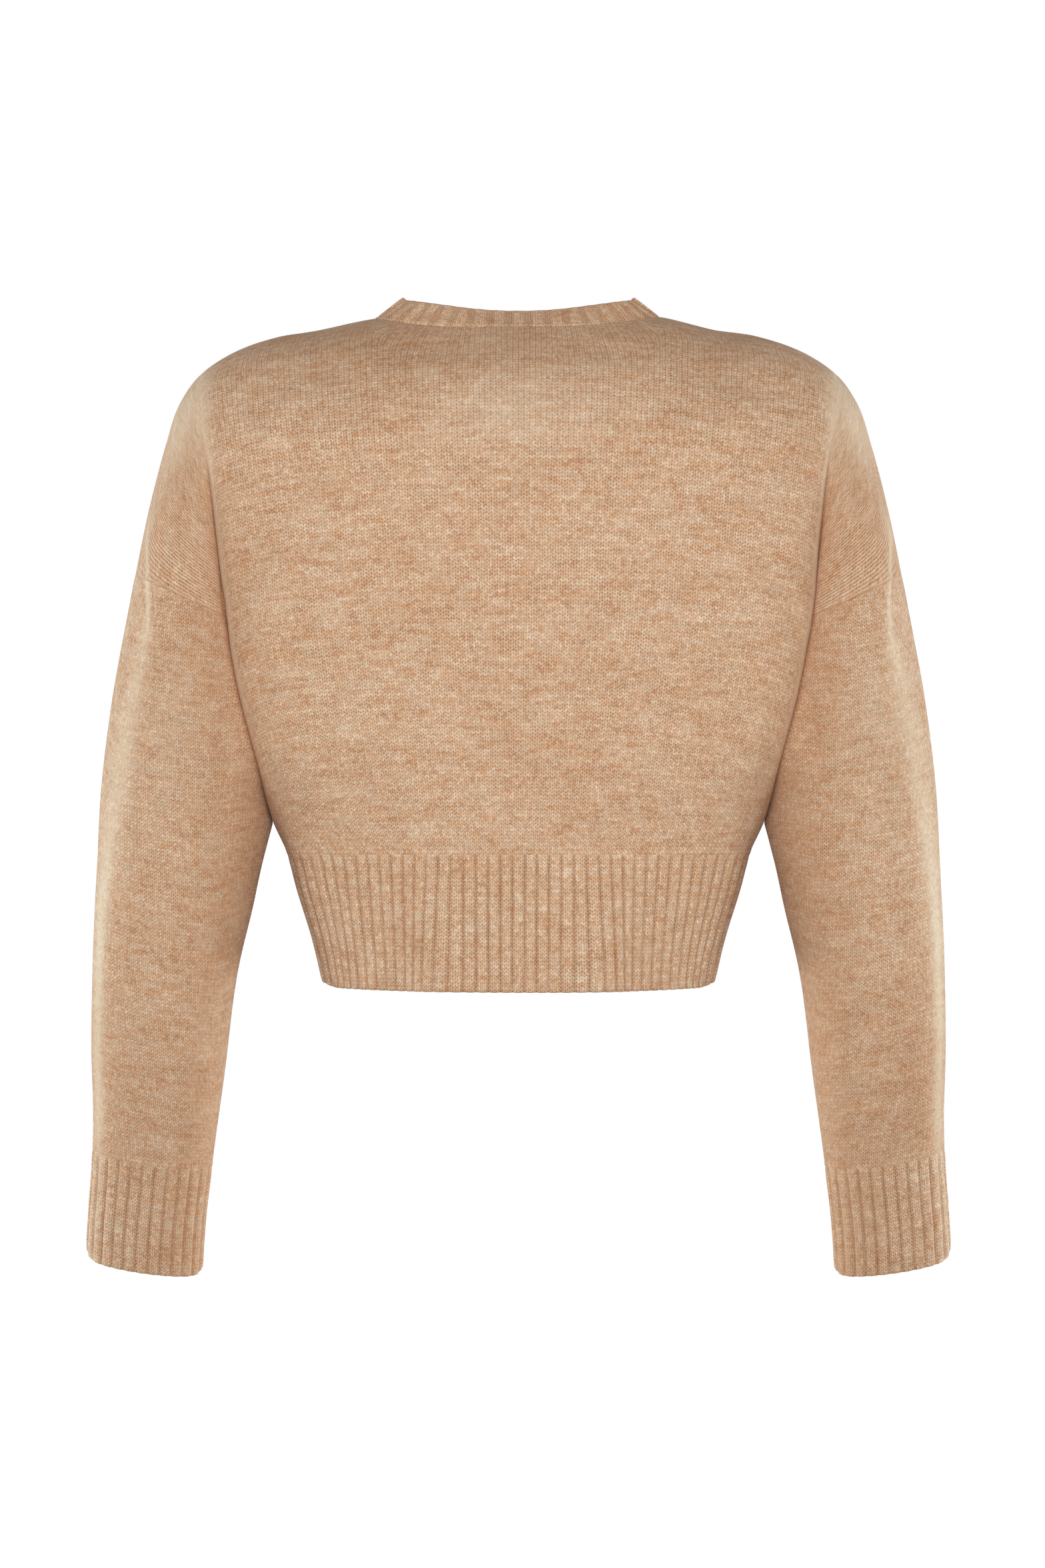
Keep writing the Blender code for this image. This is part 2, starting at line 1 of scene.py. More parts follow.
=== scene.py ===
# %% [markdown]
# # A camel knitted cardigan, dressed on its frame
# The frame is the imported part: plain walls at their real size.
# This lesson makes what is seen: the knitted cloth with its columns of stitches, the ribs, the
# seams, creases and buttons. Everything shares the frame's place: +X is the wearer's left, -Y
# the front, +Z up, and the origin is the middle of the neck. Sizes are in millimetres, and
# become metres when a mesh is written; lamps, camera and studio are placed in metres.

# %% Load the frame
import math

import bpy
import numpy as np
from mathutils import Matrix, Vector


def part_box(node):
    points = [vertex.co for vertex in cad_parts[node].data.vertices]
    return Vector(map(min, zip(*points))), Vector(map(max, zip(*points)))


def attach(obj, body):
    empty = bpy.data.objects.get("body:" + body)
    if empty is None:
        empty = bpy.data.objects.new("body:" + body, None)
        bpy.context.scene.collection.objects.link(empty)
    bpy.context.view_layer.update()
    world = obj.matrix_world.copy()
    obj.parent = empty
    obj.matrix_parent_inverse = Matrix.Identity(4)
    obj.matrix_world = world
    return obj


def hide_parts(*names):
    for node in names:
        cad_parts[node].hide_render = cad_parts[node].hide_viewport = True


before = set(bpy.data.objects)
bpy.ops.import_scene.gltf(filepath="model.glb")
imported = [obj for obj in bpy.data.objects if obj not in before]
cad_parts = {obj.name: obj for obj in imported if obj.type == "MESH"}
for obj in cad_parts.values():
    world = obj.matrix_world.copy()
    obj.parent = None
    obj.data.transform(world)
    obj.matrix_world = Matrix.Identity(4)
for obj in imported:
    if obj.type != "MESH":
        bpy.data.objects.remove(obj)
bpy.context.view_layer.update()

MM = 0.001


# %% Read the seams' heights from the frame
def box(node):
    """A node's lowest and highest corner, in millimetres."""
    return np.array(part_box(node)) / MM


SEAM = 0.3                        # gap between two pieces that are linked together
HEM_MIDDLE, HEM_SEAM = box("hem_rib_back")[:, 2] + [0, SEAM / 2]
BUTTON_NODES = [f"button_{i}" for i in range(1, 6)]
BUTTON_HEIGHTS = [box(node)[:, 2].mean() for node in BUTTON_NODES]
print("hem seam", HEM_SEAM.round(1), "hem", HEM_MIDDLE.round(1), "buttons",
      np.round(BUTTON_HEIGHTS, 1))

# %% [markdown]
# ## The form
# A worn knit has no flat faces: its back, fronts and arms are one soft form with folds where
# the arms hang against the trunk. It could be sculpted, but a formula keeps every piece on the
# frame's walls. The form is a height field seen from behind and from before: for a half width x
# and a height z it says how deep the cloth lies. The tables hold the few sizes of it.

# %% The form's sizes
KNIT, RIB = 2.4, 2.8              # thickness of the plain knit and of the ribs
BACK_NECK = -4.0                  # neckband seam at the middle of the back
V_POINT = -226.0                  # where the neckline leaves the straight front edge
UNDERARM = -353.0
HEM_SIDE = -467.5                 # the hem at its corners, which dips from here to the middle
CUFF_SEAM, CUFF_END = -588.0, -665.0
HEM_ROUND = (2.6, 6.0)            # the hem's corners are lifted this far, this near to the outline
ARMHOLE_FOLD = -208.0             # the armhole seam comes out of the underarm fold here
ARMHOLE_OUTER = -178.0            # and crosses the outside of the arm here
SHOULDER_POINT = (101.0, 2.0)     # where shoulder seam and neckband meet: half width, height
BACK_NECK_POWER = 2.75            # how late the back neckline rises to the shoulder point
FRONT_NECK_CURVE = 0.08           # share of the front neckline's width gained near the shoulder
NECK_RIM = 0.9                    # how far, in thicknesses, the back neck's inner edge is lower
BAND = 24.0                       # width of the band round the neck and down the fronts
OVERLAP = BAND / 2                # the straight bands lie on each other, centred on the front
COLLAR_RISE = 23.0                # degrees the band stands up off the shoulder beside the neck
LAP_WIDTHS = (22.0, 87.0)         # half widths between which the lapped front comes to rest
LAP_HEIGHTS = (-166.0, -76.0)     # heights between which it does so up the neckline

OUTLINE = (  # half width, height: over the shoulder and down the arm
    (0, 9), (55, 8), (101, 2), (139, -6), (170, -11), (190, -17), (207, -25), (225, -38),
    (239, -58), (249, -88), (260, -130), (270, -178), (277, -215), (287, -271), (294, -328),
    (297, -384), (300, -454), (301, -520), (300, -567), (301, -600), (304, -640), (306, -680),
)
TRUNK_COLUMNS = ("height", "side", "back", "front", "fold_back", "fold_front")
TRUNK = (
    (20, 225, 108, 92, 66, 60),
    (-38, 225, 112, 96, 66, 60),
    (-74, 222, 114, 101, 65, 59),
    (-110, 217, 116, 107, 62, 56),
    (-160, 211, 116, 115, 60, 52),
    (-208, 206, 114, 120, 58, 46),
    (-260, 197, 110, 121, 55, 40),
    (-310, 184, 106, 117, 46, 30),
    (-353, 173, 102, 112, 0, 0),
    (-375, 163, 100, 108, 0, 0),
    (-400, 156, 98, 103, 0, 0),
    (-436, 145, 95, 97, 0, 0),
    (-475, 136, 92, 92, 0, 0),
)
ARM_COLUMNS = ("height", "middle", "depth")
ARM = (
    (20, 0, 60), (-60, 0, 66), (-110, 0, 68), (-160, 0, 68), (-208, 0, 66), (-260, 0, 63),
    (-310, 0, 59), (-353, 0, 56), (-384, 2, 52), (-412, 3, 49), (-454, 4, 45), (-525, -3, 38),
    (-588, -15, 31), (-630, -24, 27), (-680, -36, 25),
)
ARM_INNER = (  # height, half width: the arm's side next to the trunk, from the underarm down
    (-353, 173), (-384, 181), (-412, 187), (-454, 197), (-525, 207), (-588, 216), (-630, 221),
    (-680, 224),
)
TRUNK_SQUARENESS = 2.5            # 2 is an ellipse, more is boxier
FOLD_FADES = (-50.0, -170.0)      # heights between which the underarm fold deepens
BLEND = (-95.0, 15.0)             # distances from the fold between which two depths blend
SHOULDER_ROUND, CAP_ROUND = 105.0, 52.0     # how far in the rim is still rounding
CAP_WIDTHS = (130.0, 240.0)       # half widths between which one passes into the other
FOLD_TURN = 0.66 * math.pi        # how far round the arm the armhole seam goes into the fold
FRONT_DIP = 60.0                  # how far the front's middle row dips, to pass below the V point
MOUTH_HEIGHTS = (-430.0, -600.0)  # heights between which the sleeve's rings turn with the cuff
CUFF_TILT, CUFF_LEAN = 0.14, 0.22 # slopes of the cuff's mouth, inwards and backwards
FOLD_MARGIN = 10.5                # the shoulder line is read this far past the fold
ARM_STARTS = 180.0                # half width from which the outline is the arm's outer side
OUTLINE_STEPS = 300
CHUNK = 20000                     # points measured against the outline at a time


# %% Curves through the tables
def smooth_step(start, end, x):
    """0 before start, 1 after end, and 3t^2 - 2t^3 between."""
    t = np.clip((x - start) / (end - start), 0.0, 1.0)
    return t * t * (3 - 2 * t)


def through(knots, values, x):
    """A smooth curve through the knots: cubic spans whose slopes are those of the chords beside."""
    knots, values = np.asarray(knots, float), np.asarray(values, float)
    slopes = np.gradient(values, knots)
    x = np.clip(x, knots[0], knots[-1])
    i = np.clip(np.searchsorted(knots, x) - 1, 0, len(knots) - 2)
    span = knots[i + 1] - knots[i]
    t = (x - knots[i]) / span
    rise = values[i + 1] - values[i]
    a, b = slopes[i] * span - rise, -slopes[i + 1] * span + rise
    return values[i] + t * rise + t * (1 - t) * (a * (1 - t) + b * t)


def at_height(table, column, z):
    """A column of a table at heights z, on a smooth curve through its rows."""
    rows = table[::-1]
    return through([row[0] for row in rows], [row[column] for row in rows], z)


def trunk(name, z):
    return at_height(TRUNK, TRUNK_COLUMNS.index(name), z)


def arm(name, z):
    return at_height(ARM, ARM_COLUMNS.index(name), z)


def arm_inner(z):
    """The arm's inner side: it lies against the trunk as far down as the underarm."""
    return np.where(z > UNDERARM, trunk("side", z), at_height(ARM_INNER, 1, z))


def outline(inset=0.0):
    """The outline as a fine line, drawn in by inset: arrays of half width and height."""
    points = np.array(OUTLINE, float)
    along = np.concatenate([[0], np.cumsum(np.hypot(*np.diff(points, axis=0).T))])
    fine = np.linspace(0, along[-1], OUTLINE_STEPS)
    x, z = through(along, points[:, 0], fine), through(along, points[:, 1], fine)
    dx, dz = np.gradient(x), np.gradient(z)
    size = np.hypot(dx, dz)
    return x + inset * dz / size, z - inset * dx / size


def outline_height(x, inset=0.0):
    """Height of the shoulder line over a half width x, as far out as the fold."""
    line_x, line_z = outline(inset)
    top = line_x < trunk("side", 0.0) + FOLD_MARGIN
    return np.interp(x, line_x[top], line_z[top])


def outline_reach(z, inset=0.0):
    """Half width of the arm's outer side at height z."""
    line_x, line_z = outline(inset)
    side = line_x > ARM_STARTS
    return np.interp(-z, -line_z[side], line_x[side])


def inside(x, z):
    """How far each point lies inside the outline: the distance to its nearest straight segment."""
    line_x, line_z = outline()
    step_x, step_z = np.diff(line_x), np.diff(line_z)
    flat_x, flat_z = np.ravel(x), np.ravel(z)
    away = np.empty(len(flat_x))
    for start in range(0, len(flat_x), CHUNK):
        part = slice(start, start + CHUNK)
        from_x = flat_x[part, None] - line_x[:-1]
        from_z = flat_z[part, None] - line_z[:-1]
        share = np.clip((from_x * step_x + from_z * step_z) / (step_x**2 + step_z**2), 0, 1)
        gap = np.hypot(from_x - share * step_x, from_z - share * step_z)
        nearest = gap.argmin(1)[:, None]
        side = np.take_along_axis(step_z * from_x - step_x * from_z, nearest, 1)
        away[part] = (np.take_along_axis(gap, nearest, 1) * np.sign(side))[:, 0]
    return away.reshape(np.shape(x))


print("half width of the trunk at the armhole:", trunk("side", ARMHOLE_FOLD).round(1))


# %% Depth and direction of the form
NUDGE = 0.4                       # step over which slopes are measured


def fold_closed(z):
    """0 where arm and trunk are one smooth surface, 1 where the arm lies folded against it."""
    return smooth_step(*FOLD_FADES, z)


def form_parts(x, z, face, on_arm, inset=0.0):
    """The form's depth before its rim is rounded, and 0 to 1 how far into that rounding."""
    side = trunk("side", z)
    body = trunk("back" if face > 0 else "front", z) - inset
    fold = trunk("fold_back" if face > 0 else "fold_front", z)
    limb = arm("depth", z) - inset
    inner = arm_inner(z)
    half = (outline_reach(z) - inner) / 2
    if on_arm:
        rise = 1 - np.clip((x - inner - inset) / (half - inset), 0, 1)
        folded = fold + (limb - fold) * np.sqrt(1 - rise**2)
    else:
        across = np.clip(x / (side - inset), 0, 1)
        folded = fold + (body - fold) * (1 - across**TRUNK_SQUARENESS) ** (1 / TRUNK_SQUARENESS)
    smooth = body + (limb - body) * smooth_step(side + BLEND[0], side + BLEND[1], x)
    closed = fold_closed(z)
    base = smooth + closed * (folded - smooth)
    width = SHOULDER_ROUND + (CAP_ROUND - SHOULDER_ROUND) * smooth_step(*CAP_WIDTHS, x)
    width = width + closed * (half - width)
    edge = np.clip((width - inside(x, z)) / (width - inset), 0, 1)
    return base, edge


def depth(x, z, face, on_arm, inset=0.0):
    """How far the form lies behind (face 1) or before (face -1) the middle plane at x, z."""
    base, edge = form_parts(x, z, face, on_arm, inset)
    return base * np.sqrt(1 - edge**2)


def on_form(x, z, face, on_arm, inset=0.0):
    """Points of the form; those on the shoulder or side seam keep half the seam's gap."""
    middle = arm("middle", z) if on_arm else 0.0
    y = middle + face * np.maximum(depth(x, z, face, on_arm, inset), SEAM / 2)
    return np.stack([x, y, z], -1)


def on_ridge(points, face):
    """The same points, lying half the seam's gap from the middle plane."""
    points = points.copy()
    points[..., 1] = face * SEAM / 2
    return points


def unit(v):
    """The same directions, each 1 long."""
    return v / np.maximum(np.linalg.norm(v, axis=-1, keepdims=True), 1e-12)


def normals(x, z, face, on_arm):
    """Outward directions: the slopes of (depth / base)^2 + edge^2 = 1, which the form obeys."""
    base, edge = form_parts(x, z, face, on_arm)
    round_share = 1 - edge**2
    slopes = []
    for dx, dz in ((NUDGE, 0), (0, NUDGE)):
        base_more, edge_more = form_parts(x + dx, z + dz, face, on_arm)
        base_less, edge_less = form_parts(x - dx, z - dz, face, on_arm)
        rim_slope = edge * base * (edge_more - edge_less)
        slopes.append((rim_slope - round_share * (base_more - base_less)) / (2 * NUDGE))
    return unit(np.stack([slopes[0], face * np.sqrt(round_share), slopes[1]], -1))


print("half depth at the armhole, back and front:",
      [round(float(depth(0.0, ARMHOLE_FOLD, face, False)), 1) for face in (1, -1)])

# %% [markdown]
# ## Laying the stitches
# Plain knit is made of columns of V shaped stitches, called wales, which run up the cloth, and
# rows, called courses. The maker sees both, so the grid of every piece follows the wales, and
# its UV map counts them: u is the number of the wale and v that of the course. The columns'
# relief is modelled in the mesh, two points to a wale. The V of each stitch is left to the
# material, since ten thousands of loops would not make a light part.

# %% Gauge and density
WALE, COURSE = 3.6, 2.54          # one stitch of the body
CAP_WALE = 1.9                    # the drop shoulder is drawn in, so its wales are narrower
SLEEVE_WALE, SLEEVE_COURSE = 2.95, 2.5
WALE_RELIEF = 0.2                 # how far a wale stands above the gutters beside it, halved
LOW_ROWS, UPPER_ROWS, CAP_COLUMNS = 40, 70, 36      # how finely the body is divided
SLEEVE_ROWS = 84
SEAM_ROWS = (0.9, 1.8, 2.7, 3.6, 4.8, 6.2)   # extra rows this far above the armhole seam
FINE = 400                        # samples of a curve before it is divided evenly


def along_path(points, axis):
    """Distance run along a grid's rows (axis 1) or columns (axis 0), starting from 0."""
    steps = np.linalg.norm(np.diff(points, axis=axis), axis=-1)
    start = np.zeros_like(np.take(steps, [0], axis))
    return np.concatenate([start, np.cumsum(steps, axis)], axis)


def middle_edge(face):
    """Half width at which a body panel starts: the middle of the back, or the front band."""
    return 0.0 if face > 0 else OVERLAP + SEAM


def column_x(t, z, face, inset=0.0):
    """Half width of column t at height z: start + (side - start) sin(t pi / 2)."""
    start = middle_edge(face)
    side = trunk("side", z) - inset * fold_closed(z)
    return start + (side - start) * np.sin(t * math.pi / 2)


def wale_columns(face, per_wale=2):
    """Columns that divide the cloth at the armhole's height into whole wales, evenly."""
    fine = np.linspace(0, 1, FINE)
    z = np.full(FINE, ARMHOLE_FOLD)
    run = along_path(on_form(column_x(fine, z, face), z, face, False)[None], 1)[0]
    count = per_wale * round(run[-1] / WALE)
    return np.interp(np.linspace(0, run[-1], count + 1), run, fine)


for face, word in ((1, "back"), (-1, "front")):
    print(word, "half:", len(wale_columns(face)) // 2, "wales")


# %% The trunk's grid
def neckline_back(x):
    """Height of the back neckline: it rises with the power BACK_NECK_POWER of the half width."""
    return BACK_NECK + (SHOULDER_POINT[1] - BACK_NECK) * (x / SHOULDER_POINT[0]) ** BACK_NECK_POWER


def neckline_front(z):
    """Half width of the front neckline at height z: straight from the V point, then rounding."""
    up = np.clip((z - V_POINT) / (SHOULDER_POINT[1] - V_POINT), 0, 1)
    start = middle_edge(-1)
    curved = (1 - FRONT_NECK_CURVE) * up + FRONT_NECK_CURVE * up**4
    return start + (SHOULDER_POINT[0] - start) * curved


def under_neck(t, face):
    """True for the columns that end on the neckline, not on the shoulder."""
    return column_x(t, np.zeros_like(t), face) < SHOULDER_POINT[0]


def top_edge(t, face, inset):
    """Height at which each column ends: on the neckline, or on the shoulder seam."""
    x = column_x(t, np.zeros_like(t), face)
    shoulder = outline_height(x, inset)
    if face > 0:
        neck = neckline_back(np.minimum(x, SHOULDER_POINT[0])) - NECK_RIM * inset
        return np.where(under_neck(t, face), neck, shoulder)
    z = np.linspace(V_POINT, SHOULDER_POINT[1], FINE)
    start = middle_edge(face)
    share = np.clip((neckline_front(z) - start) / (trunk("side", z) - start), 0, 1)
    neck = np.interp(t, 2 / math.pi * np.arcsin(share), z)
    neck -= inset * (np.minimum(x, SHOULDER_POINT[0]) / SHOULDER_POINT[0]) ** 4
    return np.where(under_neck(t, face), neck, shoulder)


def fold_row(t, face):
    """Height of the row that ends where the armhole seam leaves the fold."""
    if face > 0:
        return np.full_like(t, ARMHOLE_FOLD)
    x = column_x(t, np.full_like(t, ARMHOLE_FOLD), face)
    return ARMHOLE_FOLD - FRONT_DIP * (1 - smooth_step(OVERLAP, SHOULDER_POINT[0], x))


def upper_rows():
    """Shares of the way down from the top edge: 1 - cos, and closer ones at the armhole."""
    shares = 1 - np.cos(np.linspace(0, 1, UPPER_ROWS + 1) * math.pi / 2)
    length = outline_height(trunk("side", 0.0)) - ARMHOLE_FOLD
    extra = 1 - np.array(SEAM_ROWS) / length
    plain = shares[shares < extra.min()]
    return np.concatenate([plain, extra[::-1], [1.0]])


def trunk_grid(face, inset=0.0):
    """Rows of points from the hem seam up to the top edge, from the middle out to the fold."""
    t = wale_columns(face)
    top = top_edge(t, face, inset)
    middle = fold_row(t, face)
    upper = [top + (middle - top) * share for share in upper_rows()[::-1]]
    share = np.linspace(0, 1, LOW_ROWS + 1)[:-1, None]
    z = np.concatenate([HEM_SEAM + (middle - HEM_SEAM) * share, upper])
    points = on_form(column_x(t, z, face, inset), z, face, False, inset)
    if inset:
        round_the_fold(points, face, inset)
    points[..., 0] -= SEAM / 2 * t
    ridge = ~under_neck(t, face)
    points[-1, ridge] = on_ridge(points[-1, ridge], face)
    return points


def round_the_fold(points, face, inset):
    """Where trunk and drop shoulder are one cloth, its inner face runs round the fold's bottom."""
    fold = points[:, -1, 2] > ARMHOLE_FOLD - 1
    z = points[fold, -1, 2]
    side = trunk("side", z)
    bottom = on_form(side, z, face, False)[:, 1] - face * inset
    plain = points[fold, -1, 1]
    points[fold, -1, 0] = side
    points[fold, -1, 1] = plain + (bottom - plain) * fold_closed(z)


def cap_grid(face, inset=0.0):
    """The drop shoulder: rows run with the knit from the fold over the arm to its outer side."""
    fold_edge = trunk_grid(face, inset)[-len(upper_rows()):, -1]
    apex = fold_edge[-1, 2]
    share = upper_rows()[::-1, None]
    fold_z = fold_edge[:, 2:]
    outer_z = apex + (ARMHOLE_OUTER - apex) * share
    across = (1 - np.cos(np.linspace(0, 1, CAP_COLUMNS + 1) * math.pi)) / 2
    z = fold_z + (outer_z - fold_z) * across
    inner = trunk("side", z) + inset * fold_closed(z)
    x = inner + (np.maximum(outline_reach(z, inset), inner) - inner) * across
    points = on_form(x, z, face, True, inset)
    points[:, -1] = on_ridge(points[:, -1], face)
    points[:, 0] = fold_edge
    points[-1] = fold_edge[-1]
    return points


print("points of half the back, trunk and cap:",
      trunk_grid(1).shape[:2], cap_grid(1).shape[:2])

# %% [markdown]
# ## Ribs
# The hem and cuffs are knitted two stitches up, one stitch down, so two raised columns stand
# beside one gutter. The band is two by two, and its ribs run across it. They could be painted
# as bump, but ribs this deep show at every edge, so they are relief in the mesh, four points
# to a wale. Towards the hem's lower edge the ribs lean a little and draw together in one place
# at each side, where the hem has settled into a shallow pleat.

# %% The ribs' profile
RIB_RELIEF = 0.62                 # from the cloth's middle level up to a rib or down to a gutter
RIB_POWERS = (2.6, 0.7)           # they flatten the top of a rib's swell and round its sides
RIB_NOTCH = 0.22                  # share of that by which the line between two raised wales dips
NOTCH_WIDTH = 0.16                # wales
RIB_START = 7.0                   # distance from the plain knit over which the ribs grow
HEM_ROWS, CUFF_ROWS = 30, 30
HEM_GATHER = (  # half width at the hem seam, and how far a rib moves out on its way down
    (0, 0), (40, 0.6), (57, 4.6), (68, 3.4), (78, -0.5), (96, -4.5), (124, -9.5), (150, -17),
)
GATHER_FALL = (-0.3, 1.15)        # shares of the way down between which it does so
SIDE_POWER = 6                    # how near the side the ribs are drawn back to it
EDGE_CALM, EDGE_HEIGHT = 0.55, 6.0      # share of the relief left at a loose edge, and its height
WHOLE_SHELL = (1.0, 5.0)          # the shell grows to its full thickness between these distances
FELTED_START = 2.0                # the stitches beside the plain knit are felted over this far


def rib_height(u, raised, lowered):
    """Relief from -1 to 1 of ribs with so many raised and so many lowered wales.

    Over the raised wales it is a flat-topped swell with a notch at each line between two of
    them; over the lowered ones it is the same swell turned down.
    """
    place = np.mod(u, raised + lowered)
    up = place < raised
    share = np.where(up, place / raised, (place - raised) / lowered)
    high = (1 - np.abs(2 * share - 1) ** RIB_POWERS[0]) ** RIB_POWERS[1]
    notch = RIB_NOTCH * np.exp(-((np.mod(place + 0.5, 1) - 0.5) / NOTCH_WIDTH) ** 2)
    between = up & (np.abs(place - raised / 2) < raised / 2 - 0.5)
    return np.where(up, high, -high) - np.where(between, notch, 0)


def rib_relief(u, down):
    """Relief of the two by one ribs: they grow from the plain knit and calm at the loose edge."""
    calm = (1 - EDGE_CALM) * smooth_step(EDGE_HEIGHT, 0, down[-1] - down)
    return RIB_RELIEF * rib_height(u, 2, 1) * (smooth_step(0, RIB_START, down) * (1 - calm))


def hem_x(t, z, face, inset):
    """Half width of hem column t: that at the seam, moved by the gather, and kept to the side."""
    top = column_x(t, np.full_like(t, HEM_SEAM), face, inset)
    fall = np.clip((HEM_SEAM - z) / (HEM_SEAM - HEM_SIDE), 0, 1)
    knots = np.array(HEM_GATHER, float)
    narrowed = top + through(knots[:, 0], knots[:, 1], top) * smooth_step(*GATHER_FALL, fall)
    side, last = trunk("side", z) - inset, narrowed[:, -1:]
    return narrowed + (side - last) * (top / top[-1]) ** SIDE_POWER


def hem_grid(face, inset=0.0):
    """Rows of points from the hem seam down to the hem, which dips a little in the middle."""
    t = wale_columns(face, 4)
    side = trunk("side", HEM_SEAM)
    dip = 1 - (column_x(t, np.full_like(t, HEM_SEAM), face) / side) ** 2
    end = HEM_SIDE + (HEM_MIDDLE - HEM_SIDE) * dip
    lift, reach = HEM_ROUND
    end = end + lift * np.exp(-(((1 - np.sqrt(np.clip(1 - dip, 0, 1))) * side / reach) ** 2))
    share = np.linspace(0, 1, HEM_ROWS + 1)[:, None]
    z = HEM_SEAM + (end - HEM_SEAM) * share
    points = on_form(hem_x(t, z, face, inset), z, face, False, inset)
    points[:, -1] = on_ridge(points[:, -1], face)
    return points


print("points of half the back's hem:", hem_grid(1).shape[:2])

# %% [markdown]
# ## Sleeves and cuffs
# A sleeve is a tube whose wales run straight down the arm and stop one after another at the
# underarm seam, where the knitter narrows it. So its columns keep an even distance round the
# arm from the outer side, and those that reach the underarm seam end there.

# %% Sleeves and cuffs as rings of points
ARMHOLE_ROWS = (0.0, 0.8, 1.7, 2.7, 4.0)    # the sleeve's first rows below the armhole seam
CUFF_REPEATS = 25                 # ribs round half a cuff, each of three wales
CUFF_ROUND = (5.0, 0.33)          # how far a cuff's corners are lifted, and how wide they are
FOLD_OVERLAP = 0.9                # in the fold the sleeve is pressed this far into the trunk
FOLD_HOLD = 12.0                  # height above the underarm over which it comes to lie so


def armhole(turn):
    """Height of the armhole seam at an angle round the arm, 0 outside and pi at the underarm."""
    turn = np.abs(turn)
    over = (1 + np.cos(np.clip(turn / FOLD_TURN, 0, 1) * math.pi)) / 2
    down = np.clip((turn - FOLD_TURN) / (math.pi - FOLD_TURN), 0, 1)
    return ARMHOLE_FOLD + (ARMHOLE_OUTER - ARMHOLE_FOLD) * over + (UNDERARM - ARMHOLE_FOLD) * down


def arm_x(turn, z, inset=0.0):
    """Half width at an angle round the arm: inner + (outer - inner) (1 + cos share pi) / 2."""
    down = np.clip((ARMHOLE_FOLD - z) / (ARMHOLE_FOLD - UNDERARM), 0, 1)
    widest = FOLD_TURN + (math.pi - FOLD_TURN) * down
    share = np.clip(np.abs(turn) / widest, 0, 1)
    across = (1 + np.cos(share * math.pi)) / 2
    inner = arm_inner(z) + inset
    return inner + (outline_reach(z, inset) - inner) * across, across


def sleeve_points(turn, z, face, inset=0.0):
    """The sleeve's points at angles and heights; above the underarm it is open to the trunk."""
    x, across = arm_x(turn, z, inset)
    points = on_form(x, z, face, True, inset)
    held = smooth_step(UNDERARM, UNDERARM + FOLD_HOLD, z)
    points[..., 0] += (SEAM / 2 - FOLD_OVERLAP * held) * (1 - across)
    seam = (across > 1 - 1e-9) | ((across < 1e-9) & (z <= UNDERARM))
    points[..., 1] = np.where(seam, arm("middle", z), points[..., 1])
    mouth = smooth_step(*MOUTH_HEIGHTS, z)
    centre = (arm_inner(z) + inset + outline_reach(z)) / 2
    points[..., 2] += mouth * CUFF_TILT * (points[..., 0] - centre)
    points[..., 2] -= mouth * CUFF_LEAN * (points[..., 1] - arm("middle", z))
    return points


def sleeve_shares():
    """Shares of the way from the armhole seam to the cuff's seam, closer ones at the armhole."""
    near = np.array(ARMHOLE_ROWS) / (ARMHOLE_OUTER - CUFF_SEAM)
    return np.concatenate([near[:-1], np.linspace(near[-1], 1, SLEEVE_ROWS + 1)])[:, None]


def sleeve_wales(face):
    """Turns and heights of every point of the sleeve's half, and how far round the arm it lies."""
    fine = np.linspace(0, math.pi, FINE)
    share = sleeve_shares()
    z = armhole(fine) + (CUFF_SEAM - armhole(fine)) * share
    level = sleeve_points(fine + 0 * z, z, face)[..., :2]
    run = along_path(level, 1) + 1e-6 * np.arange(FINE)
    wanted = np.arange(0, run[:, -1].max() + SLEEVE_WALE / 2, SLEEVE_WALE / 2)
    reached = np.minimum(wanted, run[:, -1:])
    turn = np.array([np.interp(far, ring, fine) for far, ring in zip(reached, run)])
    heights = armhole(turn) + (CUFF_SEAM - armhole(turn)) * share
    return turn, heights, reached


def cuff_wales(face):
    """The same for a cuff, whose ribs all run from its seam to its mouth."""
    fine = np.linspace(0, math.pi, FINE)
    middle = np.full(FINE, (CUFF_SEAM + CUFF_END) / 2)
    run = along_path(sleeve_points(fine, middle, face)[None, :, :2], 1)[0]
    count = 2 * 3 * CUFF_REPEATS      # four points to a wale, round half of the cuff
    turn = np.interp(np.linspace(0, run[-1], count + 1), run, fine)
    share = np.linspace(0, 1, CUFF_ROWS + 1)[:, None]
    lift, reach = CUFF_ROUND
    end = CUFF_END + lift * np.exp(-((np.sin(turn) / reach) ** 2))
    z = CUFF_SEAM + (end - CUFF_SEAM) * share
    return turn + 0 * z, z, 1 + np.arange(count + 1) / 4 + 0 * z


print("points of half a cuff:", cuff_wales(1)[0].shape)

# %% [markdown]
# ## The band
# One long ribbed strip is linked to the neckline and the front edges. It is carried along their
# seam: at each point a straight profile starts at the seam, lies tangent to the form, and rises
# off the shoulder beside the neck as a narrow standing collar.

# %% The band's path and surface
BAND_REPEAT = 13.8                # two raised and two lowered wales
BAND_ROWS = 12
BAND_POINTS = 16                  # along each repeat, four to a wale
SMOOTHING = 7.0                   # length over which the path's corner at the V is eased


def resampled(points, count):
    """The same path with its points at even distances."""
    run = along_path(points[None], 1)[0]
    even = np.linspace(0, run[-1], count)
    return np.stack([np.interp(even, run, points[:, i]) for i in range(3)], -1)


